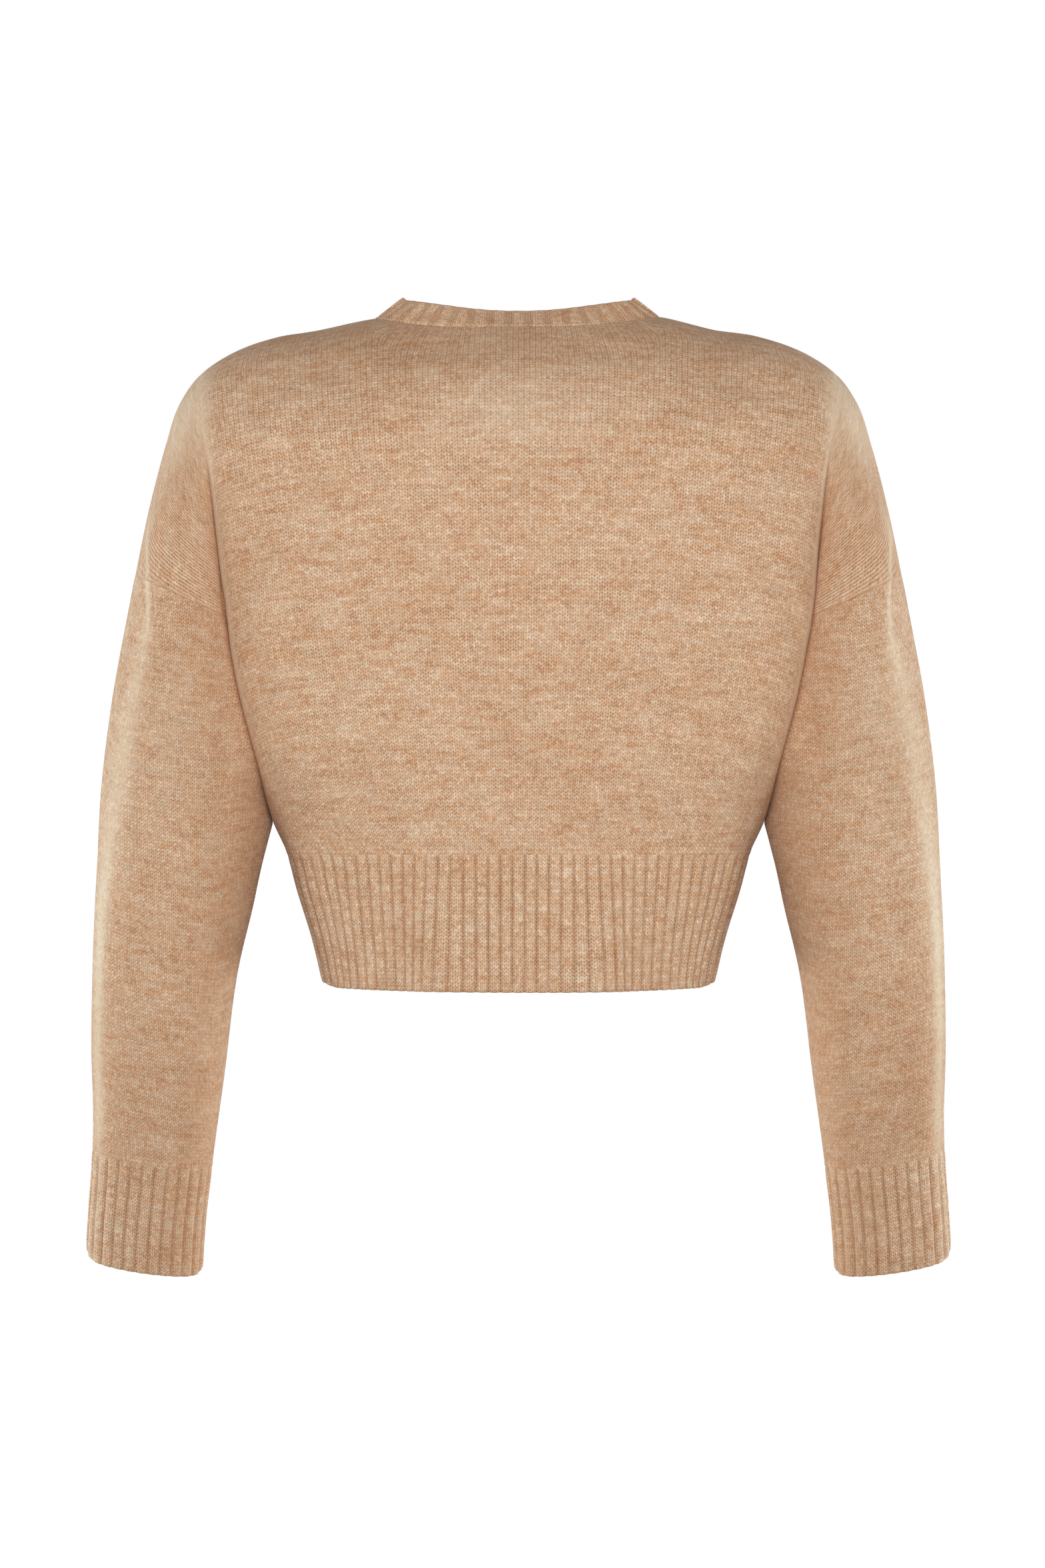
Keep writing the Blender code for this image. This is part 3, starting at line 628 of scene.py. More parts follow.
def eased(values, reach):
    """Each value becomes the mean of its neighbours, as far as the ends allow."""
    window = np.hanning(2 * reach + 3)[1:-1]
    window /= window.sum()
    padded = np.concatenate([2 * values[:1] - values[reach:0:-1], values,
                             2 * values[-1:] - values[-2:-reach - 2:-1]])
    return np.stack([np.convolve(padded[:, i], window, "valid") for i in range(3)], -1)


def on_trunk(x, z, face):
    """Points of the back or front as they lie on the form, with no gap at its seams."""
    return np.stack([x, face * depth(x, z, face, False), z], -1)


def band_path():
    """Seam of the band's left half: from the middle of the back over the shoulder to the hem."""
    near = 1 - (1 - np.linspace(0, 1, FINE)) ** 3
    back_x = SHOULDER_POINT[0] * near
    back = on_trunk(back_x, neckline_back(back_x), 1)
    front_z = V_POINT + (SHOULDER_POINT[1] - V_POINT) * near
    front = on_trunk(neckline_front(front_z), front_z, -1)[::-1]
    down_z = np.linspace(V_POINT, HEM_MIDDLE, FINE)[1:]
    down = on_trunk(np.full_like(down_z, middle_edge(-1)), down_z, -1)
    return np.concatenate([back[:-1], front[1:], down])


def lapped(points):
    """The front that lies on top, moved out by a thickness near the middle to clear the other."""
    near = 1 - smooth_step(*LAP_WIDTHS, np.abs(points[..., 0]))
    low = 1 - smooth_step(*LAP_HEIGHTS, points[..., 2])
    out = points.copy()
    out[..., 1] -= (RIB + 2 * SEAM) * near * low
    return out


def band_half():
    """Seam, direction across and facing of the left half, at four points to a wale."""
    seam = band_path()
    length = along_path(seam[None], 1)[0, -1]
    count = BAND_POINTS * round(length / BAND_REPEAT) + 1
    seam = resampled(seam, count)
    step = length / (count - 1)
    ends = seam[[0, -1]]
    seam = eased(seam, round(SMOOTHING / step))
    seam[0], seam[-1] = ends
    behind = seam[:, 1] > 0
    normal = np.where(behind[:, None], normals(seam[:, 0], seam[:, 2], 1, False),
                      normals(seam[:, 0], seam[:, 2], -1, False))
    normal = unit(eased(normal, round(SMOOTHING / step)))
    along = np.gradient(seam, axis=0)
    along[0] = (1.0, 0.0, 0.0)
    along = unit(along)
    normal = unit(normal - (normal * along).sum(-1, keepdims=True) * along)
    inward = np.cross(along, normal)
    run = np.arange(count) * step
    shoulder = run[np.abs(seam[:, 1]).argmin()]
    near = smooth_step(1, 0, np.abs(run - shoulder) / shoulder)[:, None]
    rise = math.radians(COLLAR_RISE) * near
    lean = inward * np.cos(rise) + normal * np.sin(rise)
    facing = normal * np.cos(rise) - inward * np.sin(rise)
    return seam, lean, facing, run


print("half the band is", round(float(band_half()[3][-1])), "mm long")

# %% [markdown]
# ## Creases
# Cloth this thick makes few folds, all soft: the pull from the shoulder blades, the crush under
# the arms, the bends inside the elbows and the slack above the cuffs. Each is a trough with low
# banks, placed one by one: where it is, which way it runs, how long, wide and deep it is. A very
# low swell in between keeps the cloth from looking moulded.

# %% Creases placed one by one
CREASE_COLUMNS = ("x", "z", "angle", "length", "width", "depth")
TRUNK_CREASES = {
    "back": (
        (0, -46, 0, 330, 30, -3.6),
        (187, -178, 112, 150, 15, 2.2), (168, -232, 118, 120, 12, 1.4),
        (-185, -186, 70, 140, 14, 2.0), (-164, -240, 60, 120, 13, 1.5),
        (150, -40, -12, 120, 12, 1.6), (-156, -43, 11, 110, 13, 1.8),
        (62, -22, -8, 90, 9, 1.0), (-58, -22, 9, 96, 9, 1.1),
        (176, -318, 74, 74, 8, 1.6), (-178, -312, 106, 80, 8, 1.7),
        (92, -344, 12, 90, 12, 0.9), (-84, -350, -9, 100, 12, 0.9),
        (28, -300, 80, 110, 20, 0.7), (-44, -262, 98, 130, 22, 0.8),
    ),
    "front": (
        (178, -170, 114, 140, 15, 2.2), (-180, -180, 66, 140, 14, 2.1),
        (140, -150, 128, 150, 17, 1.6), (-134, -142, 52, 150, 17, 1.5),
        (160, -300, 66, 90, 10, 1.9), (-163, -294, 112, 95, 10, 1.9),
        (118, -334, 25, 100, 12, 1.2), (-112, -328, -22, 100, 12, 1.2),
        (64, -250, 100, 120, 18, 1.0), (-60, -262, 78, 130, 18, 1.0),
        (150, -42, -10, 110, 12, 1.5), (-152, -40, 12, 110, 12, 1.5),
    ),
}
SLEEVE_CREASES = {
    "left": (
        (207, -292, 98, 96, 9, 3.0), (214, -334, 62, 60, 7, 1.6), (222, -372, 28, 72, 8, 1.5),
        (226, -404, 22, 84, 9, 1.7), (232, -436, 18, 78, 9, 1.4), (240, -474, 14, 80, 10, 1.1),
        (262, -240, 96, 110, 14, 1.2), (262, -512, -10, 70, 8, 1.0), (236, -536, 8, 60, 7, 1.3),
        (266, -556, -6, 64, 6, 1.3), (240, -572, 5, 50, 5, 1.2), (284, -420, 84, 120, 9, 0.9),
    ),
    "right": (
        (206, -298, 97, 92, 9, 3.1), (216, -340, 58, 64, 7, 1.5), (224, -380, 30, 70, 8, 1.6),
        (230, -416, 20, 80, 9, 1.5), (236, -452, 16, 84, 9, 1.3), (244, -494, 10, 76, 9, 1.2),
        (262, -248, 95, 120, 14, 1.1), (256, -522, -12, 66, 8, 1.1), (244, -546, 8, 60, 7, 1.3),
        (268, -562, -5, 60, 6, 1.2), (236, -576, 6, 46, 5, 1.2), (285, -438, 84, 120, 9, 0.9),
    ),
}
SWELLS = (  # waves across the cloth: length in x, length in z, turn at the start, height
    (310, 420, 0.4, 0.50), (-190, 260, 2.1, 0.40), (120, -330, 4.0, 0.30), (-95, -140, 5.2, 0.22),
)


CREASE_BOW = 0.5                  # how far a crease bends away at its ends, in widths


def creases(rows, x, z):
    """How far the creases draw the cloth in: the sum of depth (1 - a^2) exp(-a^2) (1 - l^2)^2.

    a is the distance across a crease over its width, and l that along it over half its length.
    A crease with a negative depth stands out as a ridge.
    """
    drawn = np.zeros_like(x)
    for row in rows:
        at = dict(zip(CREASE_COLUMNS, row))
        turn = math.radians(at["angle"])
        away_x, away_z = x - at["x"], z - at["z"]
        along = (away_x * math.cos(turn) + away_z * math.sin(turn)) / (at["length"] / 2)
        across = (away_z * math.cos(turn) - away_x * math.sin(turn)) / at["width"]
        across = across + CREASE_BOW * along**2
        profile = (1 - across**2) * np.exp(-across**2)
        drawn += at["depth"] * profile * np.clip(1 - along**2, 0, 1) ** 2
    return drawn


def swell(x, z):
    """A low, slow undulation: a sum of waves."""
    return sum(high * np.sin(2 * math.pi * (x / long_x + z / long_z) + turn)
               for long_x, long_z, turn, high in SWELLS)


print("creases:", {word: len(rows) for word, rows in {**TRUNK_CREASES, **SLEEVE_CREASES}.items()})

# %% [markdown]
# ## From grids to thin shells
# Every piece is a closed shell: an outer grid, an inner grid one thickness in, and a rolled rim
# that joins them, as the edge of a knitted piece is round, not cut. Blender's Solidify could add
# the wall, but it would cross itself in the deep underarm folds, where the frame's inner face is
# known exactly. Patches that share an edge are welded by their place on the form before any
# relief is added, so the cloth runs on over the weld.

# %% Patches of cloth
# Numbers a patch carries at its points: felted and pulled stitches, and where a highlight, a pool
# of light or shade is painted into the colour.
WEAR_AND_PAINTED_LIGHT = ("smooth", "pale", "deep", "open")


def patch(outer, inner, normal, u, v, relief, drawn=0.0, rolled=1.0, **wear_and_painted_light):
    """A patch: its grids moved along the normals, the relief on the outer face alone.

    Wear and painted light are given by numbers from 0 to 1: smooth where its stitches are felted
    over, pale where a highlight or a pool of light is painted, deep where shade is painted, in
    folds and other shaded places, open where its wales are pulled apart.
    """
    shape = outer.shape[:2]
    drawn = np.broadcast_to(drawn, shape)[..., None] * normal
    raised = np.broadcast_to(relief, shape)[..., None] * normal
    made = {
        "base": outer, "outer": outer + raised - drawn, "inner": inner - drawn, "normal": normal,
        "uv": np.stack(np.broadcast_arrays(u, v), -1) * 1.0,
        "rolled": np.broadcast_to(rolled, shape) * 1.0,
    }
    return {**made, **{key: np.broadcast_to(wear_and_painted_light.get(key, 0.0), shape) * 1.0 for key in WEAR_AND_PAINTED_LIGHT}}


def mirrored(points):
    return points * np.array([-1.0, 1.0, 1.0]) + 0.0


def swap_sides(made):
    """The patch on the wearer's other side."""
    swapped = dict(made)
    for key in ("base", "outer", "inner", "normal"):
        swapped[key] = mirrored(made[key])
    swapped["uv"] = made["uv"] * np.array([-1.0, 1.0])
    return swapped


# %% Rims and triangles
RIM_TURNS = (0.25, 0.5, 0.75)     # the rim's loops, as shares of its half turn
RIM_ROUND = 0.8                   # how far the rim stands out, in half thicknesses
RIM_COURSES = 0.3                 # how much of v is laid over each step of the rim
SHARP = math.radians(85)          # edges sharper than this aren't shaded smooth


def grid_triangles(made, first):
    """Two triangles for each square of a patch, facing the way its normals do."""
    rows, cols = made["base"].shape[:2]
    index = np.arange(rows * cols).reshape(rows, cols)
    a, b, c, d = index[:-1, :-1], index[:-1, 1:], index[1:, 1:], index[1:, :-1]
    found = np.stack([a, b, c, a, c, d], -1).reshape(-1, 3)
    points, normal = made["base"].reshape(-1, 3), made["normal"].reshape(-1, 3)
    corner = points[found]
    area = np.cross(corner[:, 1] - corner[:, 0], corner[:, 2] - corner[:, 0])
    if (area * normal[found].mean(1)).sum() < 0:
        found = found[:, ::-1]
    return found + first


def stacked(patches, key, width):
    """One array of what all the patches hold under this key."""
    return np.concatenate([made[key].reshape(-1, width) for made in patches])


def strip(near, far):
    """Two triangles between each edge of near and the same edge of far."""
    return np.concatenate([np.stack([near[:, 1], near[:, 0], far[:, 0]], 1),
                           np.stack([near[:, 1], far[:, 0], far[:, 1]], 1)])


def rim(welded, count, outer, inner, normal, rolled):
    """The loops and triangles that join outer to inner along the edges of one triangle only."""
    edges = np.concatenate([welded[:, [0, 1]], welded[:, [1, 2]], welded[:, [2, 0]]])
    keys = edges[:, 0] * count + edges[:, 1]
    edges = edges[~np.isin(keys, edges[:, 1] * count + edges[:, 0])]
    used, place = np.unique(edges, return_inverse=True)
    place = place.reshape(-1, 2)
    out = unit(np.cross(outer[edges[:, 1]] - outer[edges[:, 0]], normal[edges].mean(1)))
    tangent = np.zeros((len(used), 3))
    np.add.at(tangent, place[:, 0], out)
    np.add.at(tangent, place[:, 1], out)
    tangent = unit(tangent)
    centre, half = (outer[used] + inner[used]) / 2, (outer[used] - inner[used]) / 2
    reach = np.linalg.norm(half, axis=1) * RIM_ROUND * rolled[used]
    loops = [centre + half * math.cos(turn * math.pi)
             + tangent * (reach * math.sin(turn * math.pi))[:, None] for turn in RIM_TURNS]
    rings = [edges] + [2 * count + i * len(used) + place for i in range(len(loops))]
    rings.append(edges + count)
    found = [strip(near, far) for near, far in zip(rings, rings[1:])]
    return np.concatenate(loops), np.concatenate(found), edges


# %% Meshes and closed shells
def add_object(name, data):
    """A new object in the scene that shows this mesh, lamp or camera."""
    made = bpy.data.objects.new(name, data)
    bpy.context.scene.collection.objects.link(made)
    return made


def write_mesh(name, points, triangles, corner_uv, finish, **numbers):
    """A smooth mesh object from points in millimetres, with its UV map and named numbers."""
    mesh = bpy.data.meshes.new(name)
    mesh.from_pydata((points * MM).tolist(), [], triangles.tolist())
    layer = mesh.uv_layers.new(name="stitches")
    layer.uv.foreach_set("vector", np.ascontiguousarray(corner_uv, np.float32).ravel())
    for key, values in numbers.items():
        made = mesh.attributes.new(key, "FLOAT", "POINT")
        made.data.foreach_set("value", values.astype(np.float32))
    mesh.shade_smooth()
    mesh.set_sharp_from_angle(angle=SHARP)
    mesh.materials.append(finish)
    print(f"{name}: {len(triangles)} triangles")
    return add_object(name, mesh)


def shell(name, patches, finish):
    """A closed thin shell from patches, welded where their places on the form are the same."""
    base, outer, inner, normal = (stacked(patches, key, 3)
                                  for key in ("base", "outer", "inner", "normal"))
    uv, rolled = stacked(patches, "uv", 2), stacked(patches, "rolled", 1)[:, 0]
    sizes = [made["base"].shape[0] * made["base"].shape[1] for made in patches]
    firsts = np.concatenate([[0], np.cumsum(sizes)[:-1]])
    plain = np.concatenate([grid_triangles(made, first) for made, first in zip(patches, firsts)])
    rounded = np.round(base, 3)
    _, kept, same = np.unique(rounded, axis=0, return_index=True, return_inverse=True)
    welded = same.reshape(-1)[plain]
    whole = (welded != np.roll(welded, 1, axis=1)).all(1)
    plain, welded = plain[whole], welded[whole]
    count = len(kept)
    outer, inner, normal, rolled = outer[kept], inner[kept], normal[kept], rolled[kept]
    loops, rim_faces, edges = rim(welded, count, outer, inner, normal, rolled)
    points = np.concatenate([outer, inner, loops])
    triangles = np.concatenate([welded, welded[:, ::-1] + count, rim_faces])
    edge_uv = [uv[kept][edges] + [0, RIM_COURSES * i] for i in range(len(RIM_TURNS) + 2)]
    rim_uv = [strip(near, far) for near, far in zip(edge_uv, edge_uv[1:])]
    corner_uv = np.concatenate([uv[plain], uv[plain[:, ::-1]], *rim_uv]).reshape(-1, 2)
    rest = np.zeros(len(points) - count)
    numbers = {key: np.concatenate([stacked(patches, key, 1)[kept, 0], rest]) for key in WEAR_AND_PAINTED_LIGHT}
    return write_mesh(name, points, triangles, corner_uv, finish, **numbers)


# %% The cut of a piece
def cloth_area(patches):
    """Area of the outer grids, in square metres."""
    area = 0.0
    for made in patches:
        corner = made["base"].reshape(-1, 3)[grid_triangles(made, 0)]
        across = np.cross(corner[:, 1] - corner[:, 0], corner[:, 2] - corner[:, 0])
        area += np.linalg.norm(across, axis=1).sum() / 2
    return area * MM * MM


def row_length(row):
    """Length of a row of points in millimetres."""
    return along_path(row[None], 1)[0, -1]


def finish_cloth(cloth, node, patches, width):
    """Rides the cloth on the frame in place of its node, and states the cut it was knitted to.

    The cut is as long as the longest column of its patches.
    """
    length = max(along_path(made["base"], 0)[-1].max() for made in patches)
    flat = (round(width * MM, 3), round(length * MM, 3))
    area = min(round(cloth_area(patches), 4), flat[0] * flat[1])
    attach(cloth, "root")
    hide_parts(node)
    print(f"{cloth.name}: cut {flat[0]:.3f} x {flat[1]:.3f} m, {area:.4f} square metres")

# %% [markdown]
# ## Materials as expressions
# A material is a small sum over numbers that travel through nodes. Writing those nodes one by
# one hides the sum, so a number socket is wrapped in a class whose + - * / add the Math nodes.
# A recipe holds the nodes of one material; colours are mixed by its Mix nodes alone.

# %% Numbers that become nodes
class Number:
    """A number socket: arithmetic on it adds Math nodes to its recipe."""

    def __init__(self, recipe, socket):
        self.recipe, self.socket = recipe, socket

    def math(self, operation, *values):
        made = self.recipe.node("ShaderNodeMath", {"operation": operation}, dict(enumerate(values)))
        return Number(self.recipe, made.outputs[0])

    def __rsub__(self, other):
        return self.math("SUBTRACT", other, self)

    def __rtruediv__(self, other):
        return self.math("DIVIDE", other, self)

    def between(self, start, end):
        """0 at start, 1 at end, smooth between and clamped."""
        made = self.recipe.node("ShaderNodeMapRange", {"interpolation_type": "SMOOTHSTEP"},
                                {0: self, 1: start, 2: end, 3: 0.0, 4: 1.0})
        return Number(self.recipe, made.outputs[0])


def passed_to(operation):
    """A method that passes its number, and any others after it, to this Math node."""
    return lambda self, *others: self.math(operation, self, *others)


OPERATIONS = {
    "__add__": "ADD", "__radd__": "ADD", "__sub__": "SUBTRACT", "__mul__": "MULTIPLY",
    "__rmul__": "MULTIPLY", "__truediv__": "DIVIDE", "__pow__": "POWER", "__abs__": "ABSOLUTE",
    "fraction": "FRACT", "whole": "FLOOR", "at_most": "MINIMUM",
}
for word, operation in OPERATIONS.items():
    setattr(Number, word, passed_to(operation))
print("a number's Math nodes:", len(set(OPERATIONS.values())))


# %% Recipes that hold the nodes
class Recipe:
    """One material: its nodes, added by type, settings and socket values or links."""

    def __init__(self, name):
        self.material = bpy.data.materials.new(name)
        self.material.use_nodes = True
        self.tree = self.material.node_tree
        self.skin = self.tree.nodes["Principled BSDF"]

    def node(self, kind, settings, values):
        made = self.tree.nodes.new(kind)
        for setting, value in settings.items():
            setattr(made, setting, value)
        for key, value in values.items():
            self.feed(made.inputs[key], value)
        return made

    def feed(self, socket, value):
        if isinstance(value, Number):
            value = value.socket
        if isinstance(value, bpy.types.NodeSocket):
            self.tree.links.new(value, socket)
        else:
            socket.default_value = value

    def split(self, vector):
        made = self.node("ShaderNodeSeparateXYZ", {}, {0: vector})
        return [Number(self, output) for output in made.outputs]

    def place(self):
        """Where a point lies on the piece itself, in metres."""
        return self.node("ShaderNodeTexCoord", {}, {}).outputs["Object"]

    def vector(self, x, y, z=0.0):
        return self.node("ShaderNodeCombineXYZ", {}, {0: x, 1: y, 2: z}).outputs[0]

    def noise(self, vector, scale, detail, roughness=0.5):
        made = self.node("ShaderNodeTexNoise", {}, {
            "Vector": vector, "Scale": scale, "Detail": detail, "Roughness": roughness})
        return Number(self, made.outputs[0])

    def number(self, name):
        """A number that the mesh carries at its points."""
        made = self.node("ShaderNodeAttribute", {"attribute_name": name}, {})
        return Number(self, made.outputs["Fac"])

    def white(self, vector):
        """A number from 0 to 1 for each whole place, the same all over that place."""
        made = self.node("ShaderNodeTexWhiteNoise", {"noise_dimensions": "2D"}, {"Vector": vector})
        return Number(self, made.outputs[0])

    def mix(self, share, first, second):
        made = self.node("ShaderNodeMix", {"data_type": "RGBA"}, {0: share, 6: first, 7: second})
        return made.outputs[2]

    def bump(self, height, distance, strength):
        made = self.node("ShaderNodeBump", {}, {
            "Height": height, "Distance": distance, "Strength": strength})
        return made.outputs[0]

    def surface(self, varying, **fixed):
        for key, value in {**fixed, **varying}.items():
            self.feed(self.skin.inputs[key.replace("_", " ")], value)
        return self.material


def colour(red, green, blue):
    """A colour given in screen values from 0 to 255, as the linear one that shaders use."""
    screen = np.array([red, green, blue]) / 255
    linear = np.where(screen > 0.04045, ((screen + 0.055) / 1.055) ** 2.4, screen / 12.92)
    return (*linear.tolist(), 1.0)


# %% [markdown]
# ## Camel yarn
# The yarn is a mix of pale and brown fibres, carded so loosely that the shade drifts along it.
# As the yarn runs along the courses, the drift shows as short streaks across the cloth. On top
# come the stitches. Fuzz hides most of a loop, and what the eye reads is the lattice of small
# warm pits between the legs, so the pits are drawn: sunk in the bump and painted with shade,
# each softened or deepened by the drift. Painted highlights and painted shade in folds and on
# other shaded places come last.

# %% The yarn's colours
PALE, CAMEL, BROWN = colour(237, 210, 184), colour(217, 180, 149), colour(194, 145, 110)
GINGER, OAT = colour(218, 170, 126), colour(209, 189, 163)
# The last three are painted: the pits' warm brown is painted shade in the stitches' pits and the
# ribs' gutters, the fold colour is painted shade in folds and other shaded places, and the haze is
# a painted highlight.
PIT_SHADE_COLOUR, PAINTED_SHADE_COLOUR, PAINTED_HIGHLIGHT_COLOUR = colour(146, 88, 46), colour(184, 130, 90), colour(229, 215, 191)
STITCH_DEPTH = 0.0008             # metres from the crest of a stitch to its pit
PIT_EDGE = (0.35, 2.2)            # a pit deepens between these values of the cell
LADDER, LADDER_EDGE = (0.24, 0.5), (0.1, 0.35)  # distances from the wale's middle, in wales
V_LEAN = 0.5                      # how many courses a leg climbs across half its wale


def streaks(recipe, cloth, wide, high, seed, detail=2.0):
    """Noise from -0.5 to 0.5 in patches of about this width and height, in millimetres."""
    x, y = cloth
    return recipe.noise(recipe.vector(x / wide, y / high, seed), 1.0, detail, 0.55) - 0.5


def stitch_shape(recipe, u, v):
    """How far out of its leg a point of plain knit lies, a number for each leg, and m.

    m is the distance from the wale's middle, and q the fraction of v - 2 lean m, the course
    along a leg. A leg is the rounded cell |4m - 1|^2 + |2q - 1|^2.4 < 1, and the pits lie
    outside of all cells.
    """
    m = abs(u.fraction() - 0.5)
    along = v - m * (2 * V_LEAN)
    q = along.fraction()
    cell = abs(m * 4 - 1) ** 2 + abs(q * 2 - 1) ** 2.4
    number = recipe.white(recipe.vector((u * 2).whole(), along.whole()))
    return cell, number, m


def pits_between(cell, m, opened):
    """The lattice of pits; where the wales are pulled apart, a ladder between them instead."""
    lattice = cell.between(*PIT_EDGE)
    beside = m.between(*LADDER_EDGE)
    ladder = m.between(*LADDER) * (0.4 + lattice * 0.6)
    return (lattice * (1 - opened * (1 - beside)) + ladder * opened * 0.8).at_most(1.0)


def gutters(u, raised, lowered):
    """1 over the lowered wales of a rib, 0 over the raised ones."""
    repeat = raised + lowered
    turn = (abs(u) / repeat).fraction() * repeat
    return turn.between(raised - 0.1, raised + 0.3) * (1 - turn.between(repeat - 0.3, repeat + 0.1))


def toned(tint, tone):
    """A colour times a tone, channel by channel, no brighter than 1."""
    return (*[min(part * share, 1.0) for part, share in zip(tint, tone)], 1.0)


def camel_knit(name, ribs=None, tone=(1.0, 1.0, 1.0), sunk=0.3):
    """Knit in camel yarn; ribs is (raised, lowered) wales, and sunk how dark the lowered are: their
    colour and painted shade.
    """
    recipe = Recipe(name)
    uv = recipe.node("ShaderNodeUVMap", {"uv_map": "stitches"}, {}).outputs[0]
    place = recipe.place()
    u, v, _ = recipe.split(uv)
    cloth = (u * WALE, v * COURSE)
    pale_yarn, camel, brown_yarn, ginger, oat, pit_shade_colour, fold, painted_highlight_colour = (
        toned(tint, tone) for tint in (PALE, CAMEL, BROWN, GINGER, OAT, PIT_SHADE_COLOUR, PAINTED_SHADE_COLOUR, PAINTED_HIGHLIGHT_COLOUR))
    # Of the numbers the mesh carries, the first and last are felted and pulled stitches, the second
    # marks a painted highlight or pool of light, and the third painted shade.
    smooth, pale, deep, opened = (recipe.number(key) for key in WEAR_AND_PAINTED_LIGHT)

    course = streaks(recipe, cloth, 17.0, 4.5, 1.3)
    tuft = streaks(recipe, cloth, 3.6, 2.3, 5.9)
    speck = streaks(recipe, cloth, 1.4, 1.0, 8.3, 1.0)
    cloud = streaks(recipe, cloth, 60.0, 30.0, 7.7)
    warmth = streaks(recipe, cloth, 11.0, 3.8, 12.4) + streaks(recipe, cloth, 2.6, 2.0, 15.1) * 0.5
    fibre = recipe.noise(place, 1500.0, 2.0, 0.7) - 0.5

    stitch_u = u + streaks(recipe, cloth, 4.0, 4.0, 3.7, 1.0) * 0.34
    stitch_v = v + streaks(recipe, cloth, 4.0, 4.0, 9.1, 1.0) * 0.46
    cell, number, m = stitch_shape(recipe, stitch_u, stitch_v)
    pit = pits_between(cell, m, opened) * (1 - smooth)

    drift = course * 0.98 + tuft * 0.8 + cloud * 0.5 + speck * 1.0 + (number - 0.5) * 0.5
    drift = drift + fibre * 0.5
    yarn = recipe.mix(drift.between(0.0, 0.5), camel, pale_yarn)
    yarn = recipe.mix((0 - drift).between(0.0, 0.5), yarn, brown_yarn)
    yarn = recipe.mix(warmth.between(0.0, 0.3) * 0.6, yarn, ginger)
    yarn = recipe.mix((0 - warmth).between(0.0, 0.3) * 0.6, yarn, oat)
    crisp = streaks(recipe, cloth, 16.0, 16.0, 2.2).between(-0.25, 0.25)
    depth = pit * (0.78 + crisp * 0.5 + speck * 1.2 - (course + tuft) * 0.7)
    if ribs:
        lane = streaks(recipe, cloth, 9.0, 60.0, 21.3)
        depth = depth + gutters(u, *ribs) * (sunk + tuft * 0.8 + course * 0.5 + lane * 0.45)
    # The pits and the ribs' gutters are painted with shade, the gutters partly darker yarn too;
    # then a painted highlight, and painted shade in folds and other shaded places.
    tint = recipe.mix(depth.at_most(1.0), yarn, pit_shade_colour)
    tint = recipe.mix(pale * (0.6 + tuft * 0.8), tint, painted_highlight_colour)
    tint = recipe.mix(deep * 0.55, tint, fold)
    relief = (1 - pit) * (0.6 + crisp * 0.4) + fibre * 0.5 + number * 0.2
    return recipe.surface(
        {"Base_Color": tint, "Roughness": 0.88 + fibre * 0.2,
         "Normal": recipe.bump(relief, STITCH_DEPTH, 0.4)},
        Sheen_Weight=0.14, Sheen_Roughness=0.4, Sheen_Tint=(1.0, 0.96, 0.88, 1.0),
        Specular_IOR_Level=0.2,
    )


plain_knit = camel_knit("camel_plain_knit")
# The band's knit is a lighter copy of the camel, painted light for the band leaning away from the
# lamps; the hem's and cuffs' ribs are a little lighter too.
two_by_one = camel_knit("camel_rib_two_by_one", (2, 1), (1.03, 1.05, 1.06), 0.32)
two_by_two = camel_knit("camel_rib_two_by_two", (2, 2), (1.18, 1.16, 1.14), 0.22)
print("knits:", [knit.name for knit in (plain_knit, two_by_one, two_by_two)])

# %% [markdown]
# ## The body
# The back is one knitted panel with the drop shoulders in it; the fronts are two. Each is made
# of a trunk patch and a cap patch. Their relief is the wales, which sink away at the edges, and
# above the armhole a smooth rolled welt, where the seam is turned in.

# %% Sizes of seams, felt, painted shade and painted light
EDGE_FADE = 5.0                   # distance from a panel's end over which the wales' relief grows
WELT = (0.2, 1.4, 2.8, 4.0)       # a welt grows and ends at these distances from its seam
WELT_RELIEF, FOLD_WELT_RELIEF = 0.6, 0.35
WELT_FELT = 0.5                   # how much of the stitches is hidden on the armhole's welt
SEAM_COVER = 0.2                  # plain knit's last row lies this far over the ribs' first
SEAM_CALM = 15.0                  # creases fade out this near to a seam
EDGE_REACH = 25.0                 # and the swell this near to the outline
CAP_LEAN = (0.06, 0.008)          # slope of the drop shoulder's wales at its seam, and its growth
FOLD_WELT_HEIGHTS = (-66.0, -120.0)     # the fold's welt grows between these heights
FOLD_WELT_FELT = (-320.0, -240.0) # and is felted from the second of these up
OPEN_TOP, OPEN_SHARE = (-125.0, -60.0), 0.25    # the upper back's wales are pulled apart
LEAN_WALES, LEAN_LENGTH = 5.5, 58.0     # and lean towards the neck, by this many at its edge
LEAN_WIDTHS = (12.0, 110.0)
BRUSHED_HEIGHTS, BRUSHED_WIDTH = (-130.0, -55.0), 9.0   # the fold's upper end is brushed over
BRUSHED, BRUSHED_PAINTED_HIGHLIGHT = 0.9, 0.7  # how much of its stitches it hides, and how much painted highlight it gets
PAINTED_LIGHT_PATCH = (62.0, -62.0, 24.0, 0.4)   # painted pool of light below the neck: half width, middle, half height, share
SHOULDER_SHADE = (-50.0, -8.0, 0.3)     # painted shade on the shoulders' tops grows between these heights to this share
SEAM_SHADE = (1.6, 1.5)           # reach and strength of the painted shade along the armhole seam
